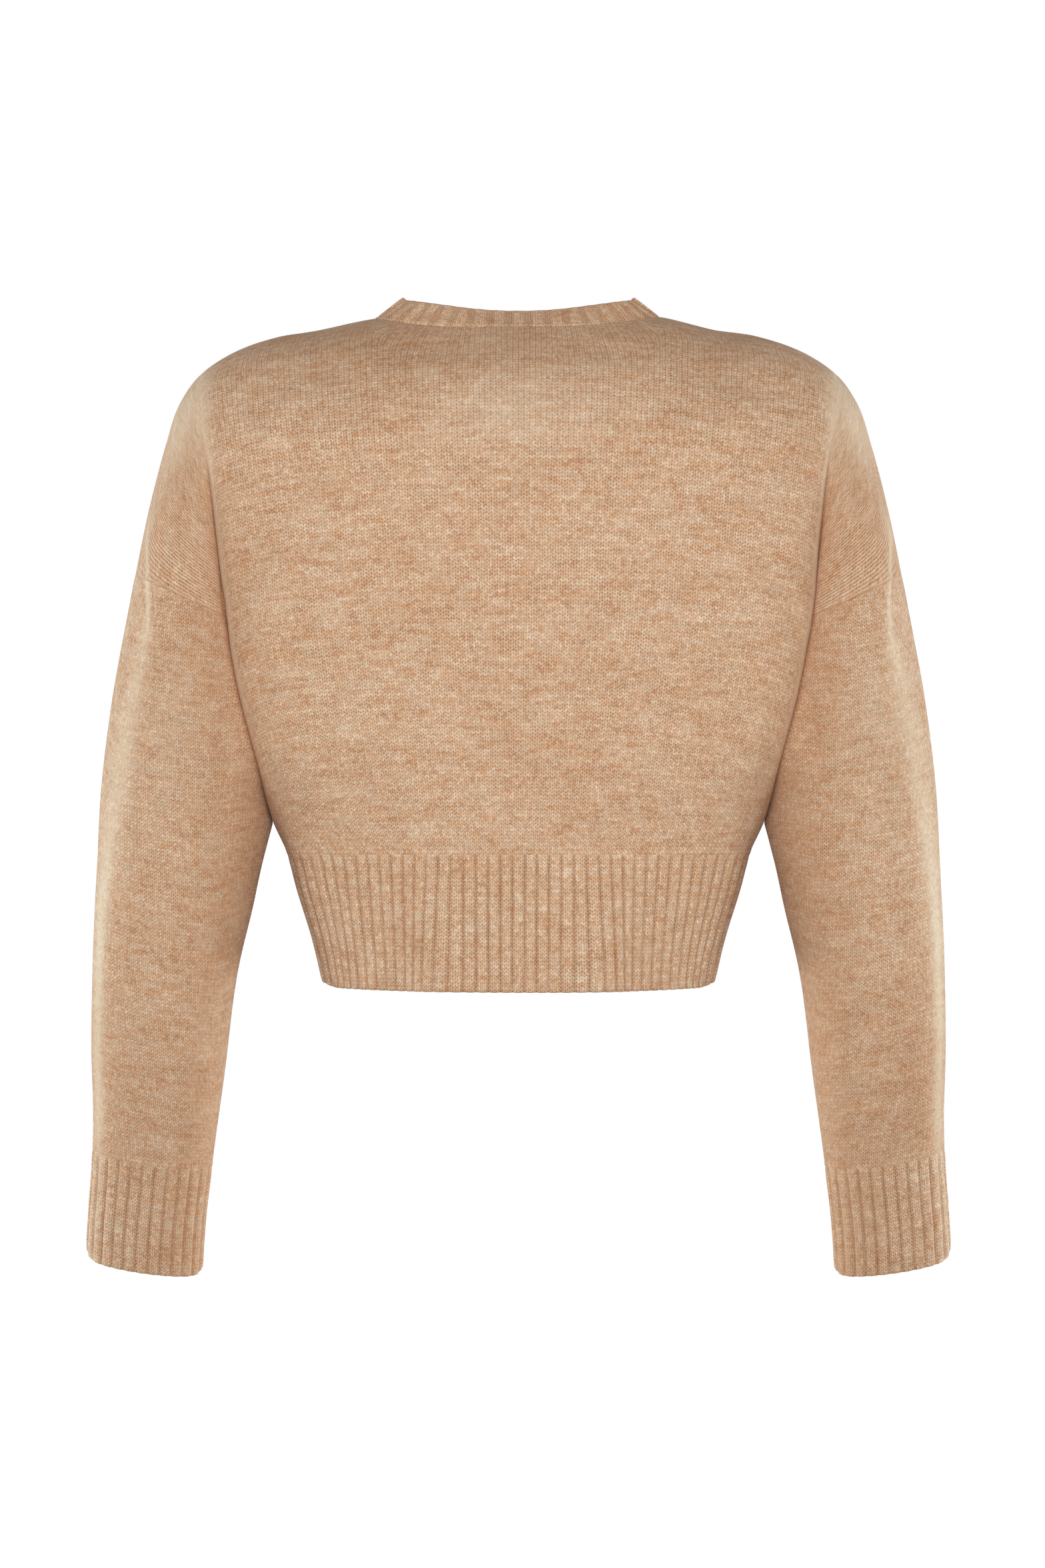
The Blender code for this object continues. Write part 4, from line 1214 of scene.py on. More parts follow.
# Two soft spots, of painted shade on the arm and of painted highlight on the sleeve: share,
# then distance from the outline, half width, height and half height.
ARM_PAINTED_SHADE = (0.5, 12.0, 10.0, -140.0, 45.0)
SLEEVE_PAINTED_HIGHLIGHT = (0.24, 41.0, 17.0, -285.0, 50.0)
CAP_OPEN = (0.0, 8.0)             # the cap's wales close up this near to the outline
SEAM_END = 14.0                   # the armhole's welt and dark line end this near to the outline
FOLD_SHADE = 5.0                  # how far the painted shade of a fold reaches
FOLD_FOOT = (-20.0, 4.0)          # it grows between these heights over the underarm
WIDE_SHADE = (28.0, 0.3)          # reach and strength of the faint painted shade around it


# %% Relief, wear and painted shade beside the seams
def wale_relief(u, first_end, second_end):
    """Low at whole wales, high between them; it fades at both ends of the wale."""
    fade = smooth_step(0, EDGE_FADE, first_end) * smooth_step(0, EDGE_FADE, second_end)
    return -WALE_RELIEF * np.cos(2 * math.pi * u) * fade


def welt(away):
    """1 on a rolled welt beside a seam, at a distance away from it, and 0 elsewhere."""
    return smooth_step(*WELT[:2], away) * (1 - smooth_step(*WELT[2:], away))


def brushed(away, z):
    """1 to 0 away from the upper end of the line between back and shoulder."""
    return BRUSHED * smooth_step(*BRUSHED_HEIGHTS, z) * np.exp(-((away / BRUSHED_WIDTH) ** 2))


def painted_fold_shade(away, z):
    """Share of painted shade: 1 in the underarm fold, 0 away from it, above it and below the
    underarm.
    """
    held = fold_closed(z) * smooth_step(*(UNDERARM + np.array(FOLD_FOOT)), z)
    return held * np.maximum(np.exp(-((away / FOLD_SHADE) ** 2)),
                             WIDE_SHADE[1] * np.exp(-((away / WIDE_SHADE[0]) ** 2)))


def drawn_in(face, side, points, from_seam):
    """Creases and swell at points of the +X half, for the wearer's side that is wanted."""
    x, z = side * points[..., 0], points[..., 2]
    calm = smooth_step(0, SEAM_CALM, from_seam)
    low = smooth_step(ARMHOLE_FOLD, ARMHOLE_FOLD - EDGE_REACH, z)
    from_side = smooth_step(0, EDGE_REACH, trunk("side", z) - abs(x))
    held = smooth_step(0, EDGE_REACH, outline_reach(z) - abs(x)) * (1 - low * (1 - from_side))
    drawn = creases(TRUNK_CREASES["back" if face > 0 else "front"], x, z) * calm
    return drawn + face * swell(x, z) * held


# %% Trunk and drop shoulder
def trunk_patch(face, side):
    """Half of the back or of a front, from its middle to the fold, with one side's creases."""
    outer, inner = trunk_grid(face), trunk_grid(face, KNIT)
    x, z = outer[..., 0], outer[..., 2]
    up = along_path(outer, 0)
    below = up[-1] - up
    u = np.arange(outer.shape[1]) / 2
    to_fold = np.maximum(trunk("side", z) - x, 0)
    fold_run = along_path(outer[:, ::-1], 1)[:, ::-1]
    fold_welt = welt(to_fold) * smooth_step(*FOLD_WELT_HEIGHTS, z) * (z > UNDERARM)
    relief = wale_relief(u, up, below) * smooth_step(0, EDGE_FADE, fold_run)
    relief = relief * (1 - fold_welt) + FOLD_WELT_RELIEF * fold_welt
    from_seam = np.minimum(np.hypot(to_fold, np.maximum(z - ARMHOLE_FOLD, 0)), below)
    leaning = np.zeros_like(x)
    if face > 0:
        near = np.clip(1 - below / LEAN_LENGTH, 0, 1)
        leaning = LEAN_WALES * near**2 * smooth_step(*LEAN_WIDTHS, x)
        relief = relief * smooth_step(0, LEAN_LENGTH, below)
    relief[0] = SEAM_COVER
    outer[0, :, 2] -= 2 * SEAM
    felted = np.maximum(fold_welt * smooth_step(*FOLD_WELT_FELT, z), brushed(fold_run, z))
    # Painted light: a pool of light below the back's neck, and a highlight on the fold's felted
    # welt and brushed upper end. Painted shade: in the fold and along the shoulders' tops.
    half_width, middle, half_height, share = PAINTED_LIGHT_PATCH
    light = share * np.exp(-((x / half_width) ** 2)
                           - ((z - middle) / half_height) ** 2) * (face > 0)
    high = SHOULDER_SHADE[2] * smooth_step(*SHOULDER_SHADE[:2], z)
    return patch(outer, inner, normals(x, z, face, False), u + leaning, up / COURSE, relief,
                 drawn_in(face, side, outer, from_seam), up > 1, smooth=felted,
                 pale=np.maximum(BRUSHED_PAINTED_HIGHLIGHT * felted, light),
                 deep=np.maximum(painted_fold_shade(to_fold, z), high),
                 open=OPEN_SHARE * smooth_step(*OPEN_TOP, z))


# A felted ridge runs down the arm's outer side, with a highlight painted along it.
FELT_AND_PAINTED_HIGHLIGHT = (  # height, distance in from the outline, half width, strength
    (-20, 10, 12, 0.0), (-45, 9, 12, 0.55), (-85, 9, 11, 0.5), (-128, 4, 3, 0.2),
    (-150, 3, 1.5, 0.9), (-173, 8, 1.3, 1.0), (-205, 15, 1.8, 0.9), (-240, 16, 6.0, 0.55),
    (-285, 15, 9.0, 0.5), (-350, 10, 7.0, 0.6), (-390, 6.6, 5.0, 0.9), (-490, 4.8, 3.6, 0.9),
    (-570, 4.6, 3.2, 0.7), (-600, 4.4, 3.0, 0.35), (-680, 4.0, 3.0, 0.3),
)


def felt_and_painted_highlight(x, z):
    """1 to 0 away from the felted ridge down the arm's outer side, which has a painted highlight.
    """
    centre, half, strong = (at_height(FELT_AND_PAINTED_HIGHLIGHT, i, z) for i in (1, 2, 3))
    return np.clip(strong, 0, 1) * np.exp(-(((outline_reach(z) - x - centre) / half) ** 2))


def soft_spot(spot, from_outline, z):
    """A soft round spot: its share at the middle, then place and width inward, and in height."""
    share, inward, wide, middle, tall = spot
    return share * np.exp(-(((from_outline - inward) / wide) ** 2) - ((z - middle) / tall) ** 2)


def cap_patch(face, side):
    """The drop shoulder; its wales run down to the fold, and steeper the higher they start."""
    outer, inner = cap_grid(face), cap_grid(face, KNIT)
    x, z = outer[..., 0], outer[..., 2]
    above, away = along_path(outer, 0), along_path(outer, 1)
    from_outline = outline_reach(z) - x
    from_seam = np.minimum(z - z[0], np.maximum(from_outline, 0))
    high = above.mean(1, keepdims=True)
    wale = (high - away * (CAP_LEAN[0] + CAP_LEAN[1] * high)) / CAP_WALE
    # The ridge line and the brushed end get a painted highlight; a soft spot, the seam's line and
    # the fold get painted shade.
    wiped, line = brushed(away, z), felt_and_painted_highlight(x, z)
    seam_end = smooth_step(0, SEAM_END, from_outline)
    rolled_seam = welt(above) * seam_end
    line_reach, line_strength = SEAM_SHADE
    seam_painted_shade = line_strength * (1 - smooth_step(0, line_reach, above))
    cap_painted_shade = np.maximum(soft_spot(ARM_PAINTED_SHADE, from_outline, z), seam_painted_shade * seam_end)
    return patch(outer, inner, normals(x, z, face, True), wale, away / COURSE + 0.5,
                 WELT_RELIEF * rolled_seam, drawn_in(face, side, outer, from_seam),
                 smooth=np.maximum(WELT_FELT * rolled_seam, np.maximum(line, wiped)),
                 pale=np.maximum(line, BRUSHED_PAINTED_HIGHLIGHT * wiped),
                 deep=np.maximum(painted_fold_shade(away, z), cap_painted_shade), open=smooth_step(*CAP_OPEN, from_outline))


# %% Knit the body
def placed(made, side, on_top):
    """The patch on its side of the wearer, moved out where it laps over the other front."""
    if side < 0:
        made = swap_sides(made)
    if on_top:
        made = {**made, **{key: lapped(made[key]) for key in ("base", "outer", "inner")}}
    return made


def body_panel(name, node, face, sides, on_top=False):
    """A back or front; its cut is as wide as its row at the armhole."""
    patches, width = [], 0.0
    for side in sides:
        trunk_half = placed(trunk_patch(face, side), side, on_top)
        cap_half = placed(cap_patch(face, side), side, on_top)
        patches += [trunk_half, cap_half]
        width += row_length(trunk_half["base"][LOW_ROWS]) + row_length(cap_half["base"][0])
    finish_cloth(shell(name, patches, plain_knit), node, patches, width)


body_panel("back_cloth", "back", 1, (1, -1))
body_panel("front_left_cloth", "front_left", -1, (1,))
body_panel("front_right_cloth", "front_right", -1, (-1,), on_top=True)


# %% Hem ribs
def hem_patch(face, side):
    """Half of the back's hem rib, or a front's."""
    outer, inner = hem_grid(face), hem_grid(face, RIB)
    x, z = outer[..., 0], outer[..., 2]
    down = along_path(outer, 0)
    u = 1 + np.arange(outer.shape[1]) / 4
    drawn = drawn_in(face, side, outer, np.maximum(trunk("side", z) - x, 0))
    return patch(outer, inner, normals(x, z, face, False), u, -down / COURSE,
                 rib_relief(u, down), drawn, smooth_step(*WHOLE_SHELL, down),
                 smooth=smooth_step(FELTED_START, 0, down))


def hem_piece(name, node, face, sides, on_top=False):
    patches = [placed(hem_patch(face, side), side, on_top) for side in sides]
    width = sum(row_length(made["base"][0]) for made in patches)
    finish_cloth(shell(name, patches, two_by_one), node, patches, width)


hem_piece("hem_back_cloth", "hem_rib_back", 1, (1, -1))
hem_piece("hem_front_left_cloth", "hem_rib_front_left", -1, (1,))
hem_piece("hem_front_right_cloth", "hem_rib_front_right", -1, (-1,), on_top=True)


# %% Sleeves and cuffs
ARM_CALM = 12.0                   # creases fade out this near to the inner seam
SWELL_SHIFT = 90.0                # the swell behind and before differs by this shift in x
INNER_SHADE, CUFF_SHADE = 0.6, 0.5      # painted shade on the side of sleeve and cuff next to the trunk
INNER_START, CUFF_START = 0.3, 0.2      # shares of the way across at which it starts
LOW_SHADE, LOW_SHADE_HEIGHTS = 0.3, (-430.0, -520.0)    # and round the sleeve above the cuff
FELT_RELIEF = 0.5                 # the felted line on the sleeve's outer side stands out so far
WALE_END = 2.0                    # wales sink away over so many before the underarm seam
CUFF_UNEVEN = (0.12, 5.1, 0.8, 0.9)     # share by which the cuff's ribs vary, and how it moves


def arm_drawn(word, face, turn, points):
    """Creases and swell of a sleeve; they fade at its inner seam, and the swell outside too."""
    x, z = points[..., 0], points[..., 2]
    across = arm_x(turn, z)[1]
    calm = smooth_step(0, ARM_CALM, x - arm_inner(z))
    return (creases(SLEEVE_CREASES[word], x, z)
            + 2 * across * (1 - across) * swell(x + SWELL_SHIFT * face, z)) * calm


def sleeve_patch(face, word):
    """The back or front half of the left or right sleeve, built on the left."""
    turn, z, place = sleeve_wales(face)
    outer, inner = sleeve_points(turn, z, face), sleeve_points(turn, z, face, KNIT)
    outer[0, :, 2] -= 2 * SEAM
    down = along_path(outer, 0)
    up = down[-1] - down
    u, stop = place / SLEEVE_WALE, (place[:, -1:] - place) / SLEEVE_WALE
    relief = wale_relief(u, down, up) * smooth_step(0, WALE_END, stop)
    drawn = arm_drawn(word, face, turn, outer) * smooth_step(0, SEAM_CALM, down)
    relief[-1] = SEAM_COVER
    outer[-1, :, 2] -= 2 * SEAM
    x = outer[..., 0]
    # The felted line and the soft spot get a painted highlight; the fold, the side next to the
    # trunk and the sleeve above the cuff get painted shade.
    line = felt_and_painted_highlight(x, z)
    inner_side = smooth_step(INNER_START, 1.0, 1 - arm_x(turn, z)[1])
    shade = np.maximum(painted_fold_shade(x - arm_inner(z), z), INNER_SHADE * inner_side)
    shade = np.maximum(shade, LOW_SHADE * smooth_step(*LOW_SHADE_HEIGHTS, z))
    glow = soft_spot(SLEEVE_PAINTED_HIGHLIGHT, outline_reach(z) - x, z)
    return patch(outer, inner, normals(x, z, face, True), face * u, up / SLEEVE_COURSE,
                 relief + FELT_RELIEF * line, drawn, up > 1, smooth=line,
                 pale=np.maximum(line, glow), deep=shade)


def cuff_patch(face, word):
    """The same for a cuff."""
    turn, z, u = cuff_wales(face)
    outer, inner = sleeve_points(turn, z, face), sleeve_points(turn, z, face, RIB)
    down = along_path(outer, 0)
    share, length, slant, turn_step = CUFF_UNEVEN
    uneven = 1 + share * np.sin(down / length + slant * u) * np.sin(u * turn_step)
    # The felted line is a painted highlight, and the side next to the trunk gets painted shade.
    return patch(outer, inner, normals(outer[..., 0], z, face, True), face * u,
                 -down / SLEEVE_COURSE, rib_relief(u, down) * uneven,
                 arm_drawn(word, face, turn, outer), smooth_step(*WHOLE_SHELL, down),
                 smooth=smooth_step(FELTED_START, 0, down), pale=felt_and_painted_highlight(outer[..., 0], z),
                 deep=CUFF_SHADE * smooth_step(CUFF_START, 1.0, 1 - arm_x(turn, z)[1]))


for side, word in ((1, "left"), (-1, "right")):
    patches = [placed(sleeve_patch(face, word), side, False) for face in (1, -1)]
    width = sum(sleeve_wales(face)[2].max() for face in (1, -1))
    sleeve = shell(f"sleeve_{word}_cloth", patches, plain_knit)
    finish_cloth(sleeve, f"sleeve_{word}", patches, width)
    patches = [placed(cuff_patch(face, word), side, False) for face in (1, -1)]
    width = sum(row_length(made["base"][len(made["base"]) // 2]) for made in patches)
    cuff = shell(f"cuff_{word}_cloth", patches, two_by_one)
    finish_cloth(cuff, f"cuff_{word}", patches, width)


# %% Band
BAND_RELIEF = 0.34
BAND_GROWS, BAND_CALM = (0.5, 4.5), (5.0, 0.7)  # where its ribs start, and calm at its free edge
BAND_END = 6.0                    # its ribs fade out this near to the hem


def band_patch(side):
    """Half of the band; the right one laps over the left."""
    seam, lean, facing, run = band_half()
    across = np.linspace(0, BAND, BAND_ROWS + 1)[:, None, None]
    outer = seam + across * lean
    inner = outer - RIB * facing
    u = 1 + run * 4 / BAND_REPEAT
    away = across[..., 0] + 0 * u
    calm = BAND_CALM[1] * smooth_step(BAND - BAND_CALM[0], BAND, away)
    grown = smooth_step(*BAND_GROWS, away) * (1 - calm) * smooth_step(0, BAND_END, run[-1] - run)
    relief = BAND_RELIEF * rib_height(u, 2, 2) * grown
    normal = np.broadcast_to(facing, outer.shape)
    return placed(patch(outer, inner, normal, u, away / COURSE, relief), side, side < 0)


band_patches = [band_patch(side) for side in (1, -1)]
band = shell("band_cloth", band_patches, two_by_two)
finish_cloth(band, "neck_and_front_band", band_patches, 2 * row_length(band_half()[0]))

# %% [markdown]
# ## Linking stitches
# The band is joined loop by loop to the neckline and fronts, which leaves a row of small pale
# loops along the band's foot. Each is a short rounded stitch; one shape is repeated along the
# seam as a single joined mesh.

# %% Small shapes carried along a path
CORD_SIDES, BALL_RINGS = 8, 6
SLANTED = (0.31, 0.93, 0.17)      # a direction that no cord runs in, to start its rings from


def plain_mesh(name, points, triangles, finish):
    uv = np.zeros((triangles.size, 2))
    return write_mesh(name, points, triangles, uv, finish)


def ring_triangles(index):
    """Two triangles for each square between rings of point numbers, one ring to a row."""
    a, d = index[:-1], index[1:]
    b, c = np.roll(a, -1, 1), np.roll(d, -1, 1)
    return np.stack([a, b, c, a, c, d], -1).reshape(-1, 3)


def closed_rings(rings, tips):
    """Rings of points with a tip at each end: all the points, and their triangles."""
    count, sides = rings.shape[:2]
    index = np.arange(count * sides).reshape(count, sides)
    first, last = index[0], index[-1]
    start = np.stack([np.full(sides, index.size), np.roll(first, -1), first], -1)
    end = np.stack([np.full(sides, index.size + 1), last, np.roll(last, -1)], -1)
    return (np.concatenate([rings.reshape(-1, 3), tips]),
            np.concatenate([ring_triangles(index), start, end]))


def round_turns(sides):
    """Angles that divide a full turn evenly."""
    return np.arange(sides) * 2 * math.pi / sides


def ball():
    """A closed ball of radius 1, its rings square to x: its points and triangles."""
    angle = np.linspace(0, math.pi, BALL_RINGS + 1)[1:-1, None]
    turn = round_turns(CORD_SIDES)
    body = np.stack([np.cos(angle) + 0 * turn, np.sin(angle) * np.cos(turn),
                     np.sin(angle) * np.sin(turn)], -1)
    return closed_rings(body, [[1.0, 0, 0], [-1.0, 0, 0]])


def balls_at(name, centres, along, across, out, sizes, finish):
    """The ball repeated at centres, its three axes scaled by sizes and turned to the directions."""
    points, triangles = ball()
    axes = np.stack([unit(along) * sizes[0], unit(across) * sizes[1], unit(out) * sizes[2]], 1)
    points_there = centres[:, None] + np.einsum("pk,nkj->npj", points, axes)
    shift = np.arange(len(centres))[:, None, None] * len(points)
    triangles_there = (triangles + shift).reshape(-1, 3)
    return plain_mesh(name, points_there.reshape(-1, 3), triangles_there, finish)


def tube(path, radius):
    """A round cord along a path: rings square to it, closed by a cap at each end."""
    along = unit(np.gradient(path, axis=0))
    side = unit(np.cross(along, SLANTED))
    up = np.cross(along, side)
    turn = round_turns(CORD_SIDES)
    ring = np.cos(turn)[:, None] * side[:, None] + np.sin(turn)[:, None] * up[:, None]
    return closed_rings(path[:, None] + radius * ring, path[[0, -1]])


def joined(parts):
    """Several meshes' points and triangles as one."""
    shifts = np.cumsum([0] + [len(points) for points, _ in parts[:-1]])
    return (np.concatenate([points for points, _ in parts]),
            np.concatenate([triangles + shift for (_, triangles), shift in zip(parts, shifts)]))


# %% Link the band
def yarn_finish(name, tone, scale):
    """A twisted yarn: fine slanting fibres, pale and dark, over one tone."""
    recipe = Recipe(name)
    place = recipe.place()
    x, y, z = recipe.split(place)
    twisted = recipe.vector(x * scale, y * scale, (z + x * 0.7) * scale * 2.2)
    fibre = recipe.noise(twisted, 1.0, 2.0, 0.6)
    tint = recipe.mix(fibre.between(0.35, 0.7), tone, colour(236, 212, 186))
    return recipe.surface(
        {"Base_Color": tint, "Roughness": 0.8 + fibre * 0.15,
         "Normal": recipe.bump(fibre, 0.0003, 0.6)},
        Sheen_Weight=0.2, Sheen_Roughness=0.4)


link_yarn = yarn_finish("linking_yarn", colour(214, 180, 150), 1400.0)
button_thread = yarn_finish("button_thread", colour(150, 112, 80), 2600.0)
LINK_SIZE = (1.35, 0.5, 0.45)     # half length, half width, half height
LINK_STEP = 4                     # one stitch for each wale of the band, which has four points
LINK_ENDS = (2, -4)               # the first point with a stitch, and those left bare at the hem
LINK_AWAY, LINK_OUT = 0.9, 0.15   # how far up the band from the seam, and out of it
LINK_SLANT = 0.22


def link_places(side):
    """Centre, run, width and outward direction of the linking stitches on one half."""
    seam, lean, facing, _ = band_half()
    centre = seam + LINK_AWAY * lean + LINK_OUT * facing
    along = np.gradient(seam, axis=0)
    tilt = LINK_SLANT * lean * np.linalg.norm(along, axis=1, keepdims=True)
    stitched = slice(*LINK_ENDS, LINK_STEP)
    found = [part[stitched] for part in (centre, along + tilt, lean, facing)]
    if side > 0:
        return found
    return [lapped(mirrored(found[0]))] + [mirrored(part) for part in found[1:]]


both_sides = [np.concatenate(pair) for pair in zip(link_places(1), link_places(-1))]
links = balls_at("band_linking_stitches", *both_sides, LINK_SIZE, link_yarn)
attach(links, "root")

# %% [markdown]
# ## Buttons
# Five turned buttons of a horn-like resin close the front. Their shape on the frame is already
# the real one, with its dish and four drilled holes, so they keep it and get a better finish.
# The thread, its shank and the worked buttonhole are added, as small cords.

# %% Button finish
def horn_finish():
    """Brown horn: soft streaks drawn out by warped noise, under a thin polish."""
    recipe = Recipe("horn_resin")
    place = recipe.place()
    x, y, z = recipe.split(place)
    warp = recipe.noise(place, 60.0, 2.0)
    drawn_out = recipe.vector(x * 90 + warp * 3, y * 90, z * 420 + warp * 7)
    streak = recipe.noise(drawn_out, 1.0, 3.0, 0.6)
    fleck = recipe.noise(place, 900.0, 2.0, 0.6)
    dark = recipe.mix(streak.between(0.35, 0.68), colour(74, 47, 30), colour(142, 100, 64))
    tint = recipe.mix(fleck.between(0.6, 0.8) * 0.35, dark, colour(176, 136, 96))
    return recipe.surface(
        {"Base_Color": tint, "Roughness": 0.28 + fleck * 0.16,
         "Normal": recipe.bump(streak + fleck * 0.3, 0.00015, 0.3)},
        Coat_Weight=0.25, Coat_Roughness=0.2)


horn = horn_finish()
for node in BUTTON_NODES:
    for slot in bpy.data.objects[node].material_slots:
        slot.material = horn

# %% Thread, shanks and buttonholes
BUTTON_THICK, BUTTON_DISH = 3.2, 0.8    # as on the frame
BUTTON_LIFT = 0.5                 # clear of the band, where its thread shank is
HOLE_SPACING = 3.6
THREAD = 0.42                     # radius of a strand
THREAD_RISE, THREAD_DROP = 0.55, 2.6    # the strands' height over the dish, and into a hole
STRAND_STEP, STRAND_SWELL = 0.5, 0.12   # strands lie this far apart, the middle one higher
SHANK_RADIUS, SHANK_TURNS = 1.5, 3
SHANK_ENDS = (-0.5, 0.4)          # from the band to the button's underside
HOLE_LONG, HOLE_WIDE = 10.6, 0.55 # half length of a buttonhole and half width of its slit
HOLE_STITCHES = 44
HOLE_STRAIGHT = 9.4               # beyond this the stitches fan out round the hole's ends
HOLE_ROUND, HOLE_FAN = 1.25, 3    # how short its round ends are, and how far the stitches fan
HOLE_AWAY, HOLE_OUT = 0.9, 0.25   # stitches lie this far from the slit, and out of the band
HOLE_STITCH_SIZE = (0.95, 0.42, 0.42)


def button_frame(z):
    """Origin and directions (right, up, out) of a button's underside on the upper band."""
    x = np.array([0.0])
    height = np.array([z])
    out_by = depth(x, height, -1, False)[0] + RIB + 2 * SEAM + BUTTON_LIFT
    above, below = depth(x, height + NUDGE, -1, False)[0], depth(x, height - NUDGE, -1, False)[0]
    lean = math.atan((above - below) / (2 * NUDGE))
    out = np.array([0.0, -math.cos(lean), -math.sin(lean)])
    up = np.array([0.0, -math.sin(lean), math.cos(lean)])
    return np.array([0.0, -out_by, z]), np.array([1.0, 0.0, 0.0]), up, out


def button_threads(z):
    """Two bars of three strands over the dish, down through the holes, and a wound shank."""
    origin, right, up, out = button_frame(z)
    top = BUTTON_THICK - BUTTON_DISH
    share = np.linspace(-1, 1, 15)[:, None]
    parts = []
    for row in (-1, 1):
        for strand in (-1, 0, 1):
            across = share * HOLE_SPACING / 2 * right
            rise = top + THREAD_RISE - THREAD_DROP * np.abs(share) ** 7
            rise = rise + STRAND_SWELL * (strand == 0)
            shift = (row * HOLE_SPACING / 2 + strand * STRAND_STEP) * up
            parts.append(tube(origin + across + shift + rise * out, THREAD))
    wind = np.linspace(0, SHANK_TURNS * 2 * math.pi, 60)[:, None]
    turn = SHANK_RADIUS * (np.cos(wind) * right + np.sin(wind) * up)
    parts.append(tube(origin + turn + np.linspace(*SHANK_ENDS, 60)[:, None] * out, THREAD))
    return parts


def buttonhole_stitches(z):
    """Centres and directions of the whipping stitches round one upright buttonhole."""
    origin, right, up, out = button_frame(z)
    turn = (np.arange(HOLE_STITCHES) + 0.5) * 2 * math.pi / HOLE_STITCHES
    long = np.clip(np.sin(turn) * HOLE_ROUND, -1, 1) * HOLE_LONG
    wide = np.cos(turn) * (HOLE_WIDE + HOLE_AWAY)
    centre = origin + wide[:, None] * right + long[:, None] * up - (BUTTON_LIFT - HOLE_OUT) * out
    past = long - np.clip(long, -HOLE_STRAIGHT, HOLE_STRAIGHT)
    away = unit(wide[:, None] * right + past[:, None] * up * HOLE_FAN)
    return centre, away, np.cross(out, away), np.broadcast_to(out, away.shape)


cords = [part for z in BUTTON_HEIGHTS for part in button_threads(z)]
threads = plain_mesh("button_threads", *joined(cords), button_thread)
whipping = [np.concatenate(part) for part in zip(*map(buttonhole_stitches, BUTTON_HEIGHTS))]
holes = balls_at("buttonhole_stitches", *whipping, HOLE_STITCH_SIZE, link_yarn)
for piece in (threads, holes):
    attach(piece, "root")

# %% [markdown]
# ## Camera, light and floor
# The camera looks straight at the back from far off, so the garment keeps its proportions. Two
# soft lamps stand in front of the back, and the nearer one makes the upper back a little
# lighter. Tall lamps at both sides graze the sleeves and pale their outer edges. A weak one hangs
# above, and one on the far side lights the front for the other views. A faint even light fills
# what they leave. The studio is a white room, a floor that curves up into a wall and a roof: it
# is seen, but sends no light back and takes no shadow. Lamps and cloth make the shading, with
# shade, highlights and a pool of light painted into the cloth's colour.

# %% Camera
VIEW_HEIGHT = 2353 * 0.47         # millimetres of cloth that the view is high
VIEW_CENTRE = (-2.8, -326.0)      # x and z in the middle of the view
CAMERA_AWAY = 14.0                # metres

camera_data = bpy.data.cameras.new("camera")
camera_data.sensor_width = 36.0
camera_data.lens = camera_data.sensor_width * CAMERA_AWAY / (VIEW_HEIGHT * MM)
camera_data.clip_start, camera_data.clip_end = 0.05, 90.0
camera = add_object("camera", camera_data)
camera.location = (VIEW_CENTRE[0] * MM, CAMERA_AWAY, VIEW_CENTRE[1] * MM)
camera.rotation_euler = (math.pi / 2, 0.0, math.pi)
bpy.context.scene.camera = camera
bpy.context.scene.view_settings.view_transform = "Standard"
print("lens", round(camera_data.lens, 1), "mm")


# %% Lights
def soft_light(name, place, size, watts, tone):
    """A rectangular lamp at place, facing the middle of the cardigan."""
    data = bpy.data.lights.new(name, "AREA")
    data.shape = "RECTANGLE"
    data.size, data.size_y = size
    data.energy = watts
    data.color = tone
    lamp = add_object(name, data)
    lamp.location = place
    away = np.array([0.0, 0.0, VIEW_CENTRE[1] * MM]) - np.array(place)
    flat = math.hypot(away[0], away[1])
    lamp.rotation_euler = (math.atan2(flat, -away[2]), 0.0, math.atan2(-away[0], away[1]))
    lamp.visible_camera = False


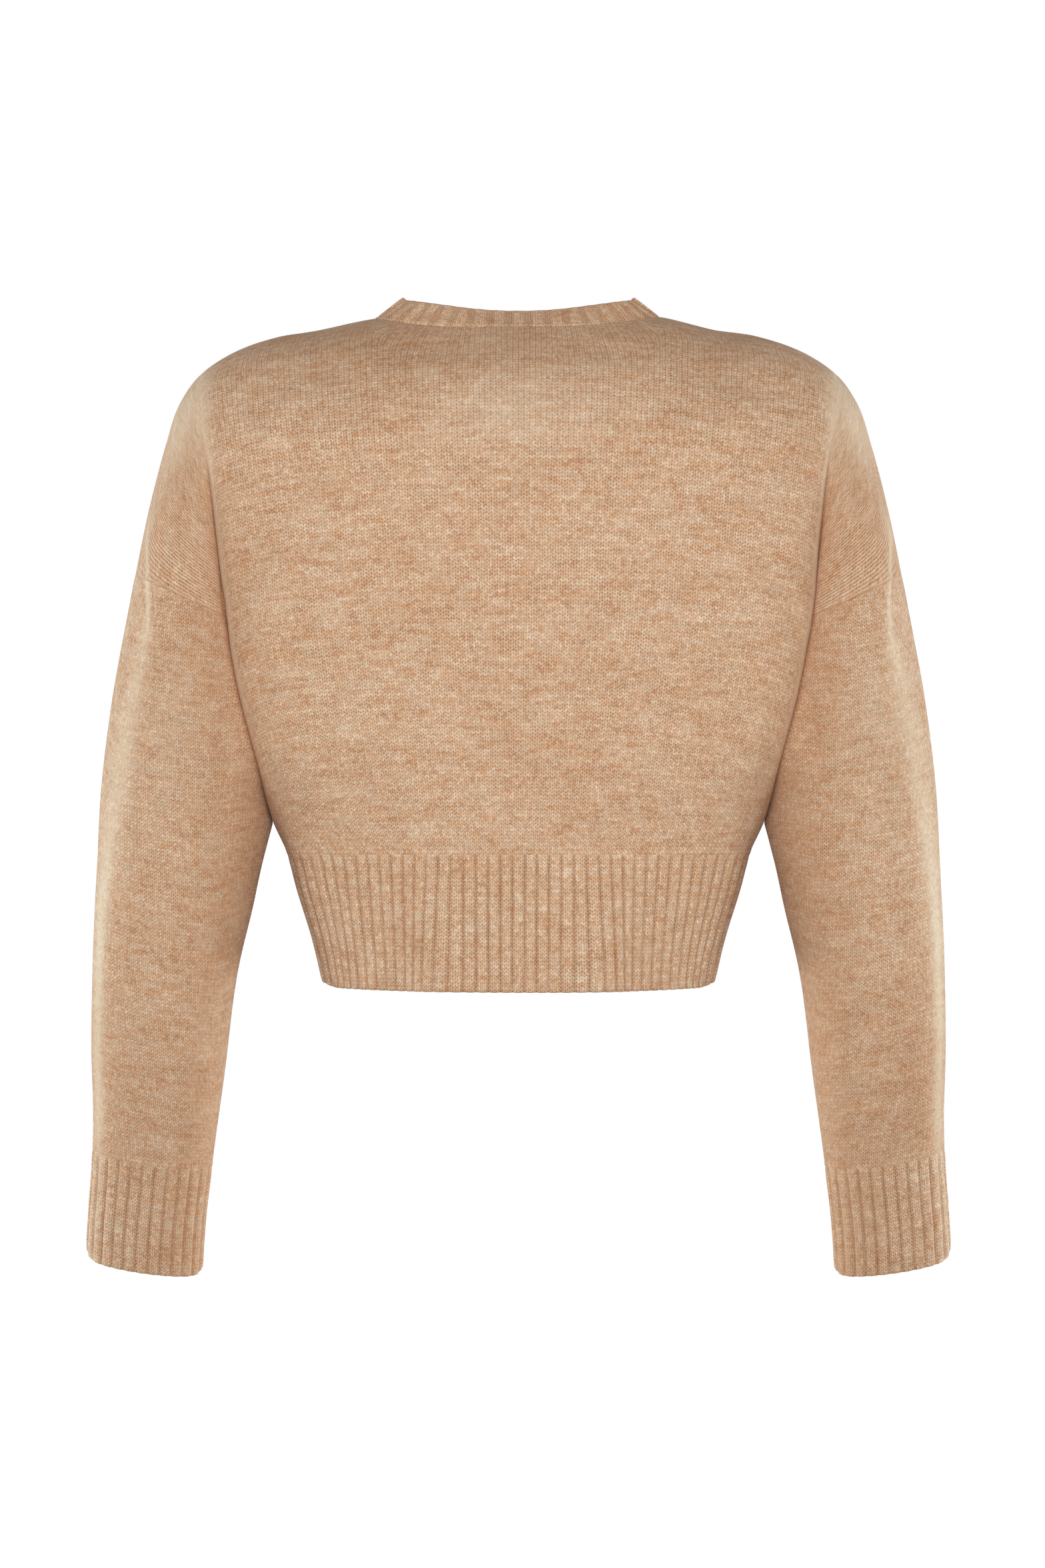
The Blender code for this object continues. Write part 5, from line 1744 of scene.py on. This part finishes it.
CLEAR, WARM, COOL = (0.89, 0.955, 1.0), (0.97, 0.97, 0.945), (0.84, 0.955, 0.99)
soft_light("key", (0.0, 1.5, -0.16), (0.8, 0.8), 10.0, WARM)
soft_light("fill", (0.0, 3.6, -0.3), (0.6, 0.6), 17.0, CLEAR)
soft_light("top", (0.0, 0.25, 2.4), (1.4, 0.9), 2.6, (1.0, 0.86, 0.7))
soft_light("front_key", (0.2, -2.4, -0.1), (1.6, 1.2), 9.5, CLEAR)
for side in (1, -1):
    word = "left" if side > 0 else "right"
    soft_light(f"side_{word}", (side * 2.75, 0.55, -0.5), (0.9, 1.8), 15.0, WARM)
    soft_light(f"rim_{word}", (side * 2.5, -1.25, -0.85), (0.9, 1.4), 53.0, COOL)
world = bpy.data.worlds.new("soft_room")
world.use_nodes = True
even_light = world.node_tree.nodes["Background"].inputs
even_light["Color"].default_value = (0.965, 0.95, 0.905, 1.0)
even_light["Strength"].default_value = 0.375
bpy.context.scene.world = world

# %% Studio
FLOOR_HEIGHT = -1.38              # the wearer's floor, in metres
COVE_FLAT, COVE_BEND = 20.0, 4.0  # radius of the flat floor, and of the bend at its edge
COVE_WALL, COVE_ROOF = 26.0, 2.0  # height of the wall, and how much higher the roof's middle is
COVE_MIDDLE = 0.0001              # floor and roof start this far from the middle
COVE_SIDES = 64


def cove():
    """A floor, a quarter-round bend, a wall and a roof: one profile, turned round the middle."""
    bend = np.linspace(0, math.pi / 2, 13)
    radius = np.concatenate([[COVE_MIDDLE], COVE_FLAT + COVE_BEND * np.sin(bend),
                             [COVE_FLAT + COVE_BEND, COVE_MIDDLE]])
    height = np.concatenate([[0.0], COVE_BEND * (1 - np.cos(bend)),
                             [COVE_WALL, COVE_WALL + COVE_ROOF]])
    turn = round_turns(COVE_SIDES)
    points = np.stack([radius[:, None] * np.cos(turn), radius[:, None] * np.sin(turn),
                       FLOOR_HEIGHT + height[:, None] + 0 * turn], -1).reshape(-1, 3) / MM
    return points, ring_triangles(np.arange(len(points)).reshape(-1, COVE_SIDES))


white = Recipe("white_studio")
glow = white.node("ShaderNodeEmission", {}, {"Color": (1.0, 1.0, 1.0, 1.0), "Strength": 1.0})
white.feed(white.tree.nodes["Material Output"].inputs["Surface"], glow.outputs[0])
studio = plain_mesh("studio", *cove(), white.material)
for kind in ("diffuse", "glossy", "transmission", "volume_scatter", "shadow"):
    setattr(studio, f"visible_{kind}", False)
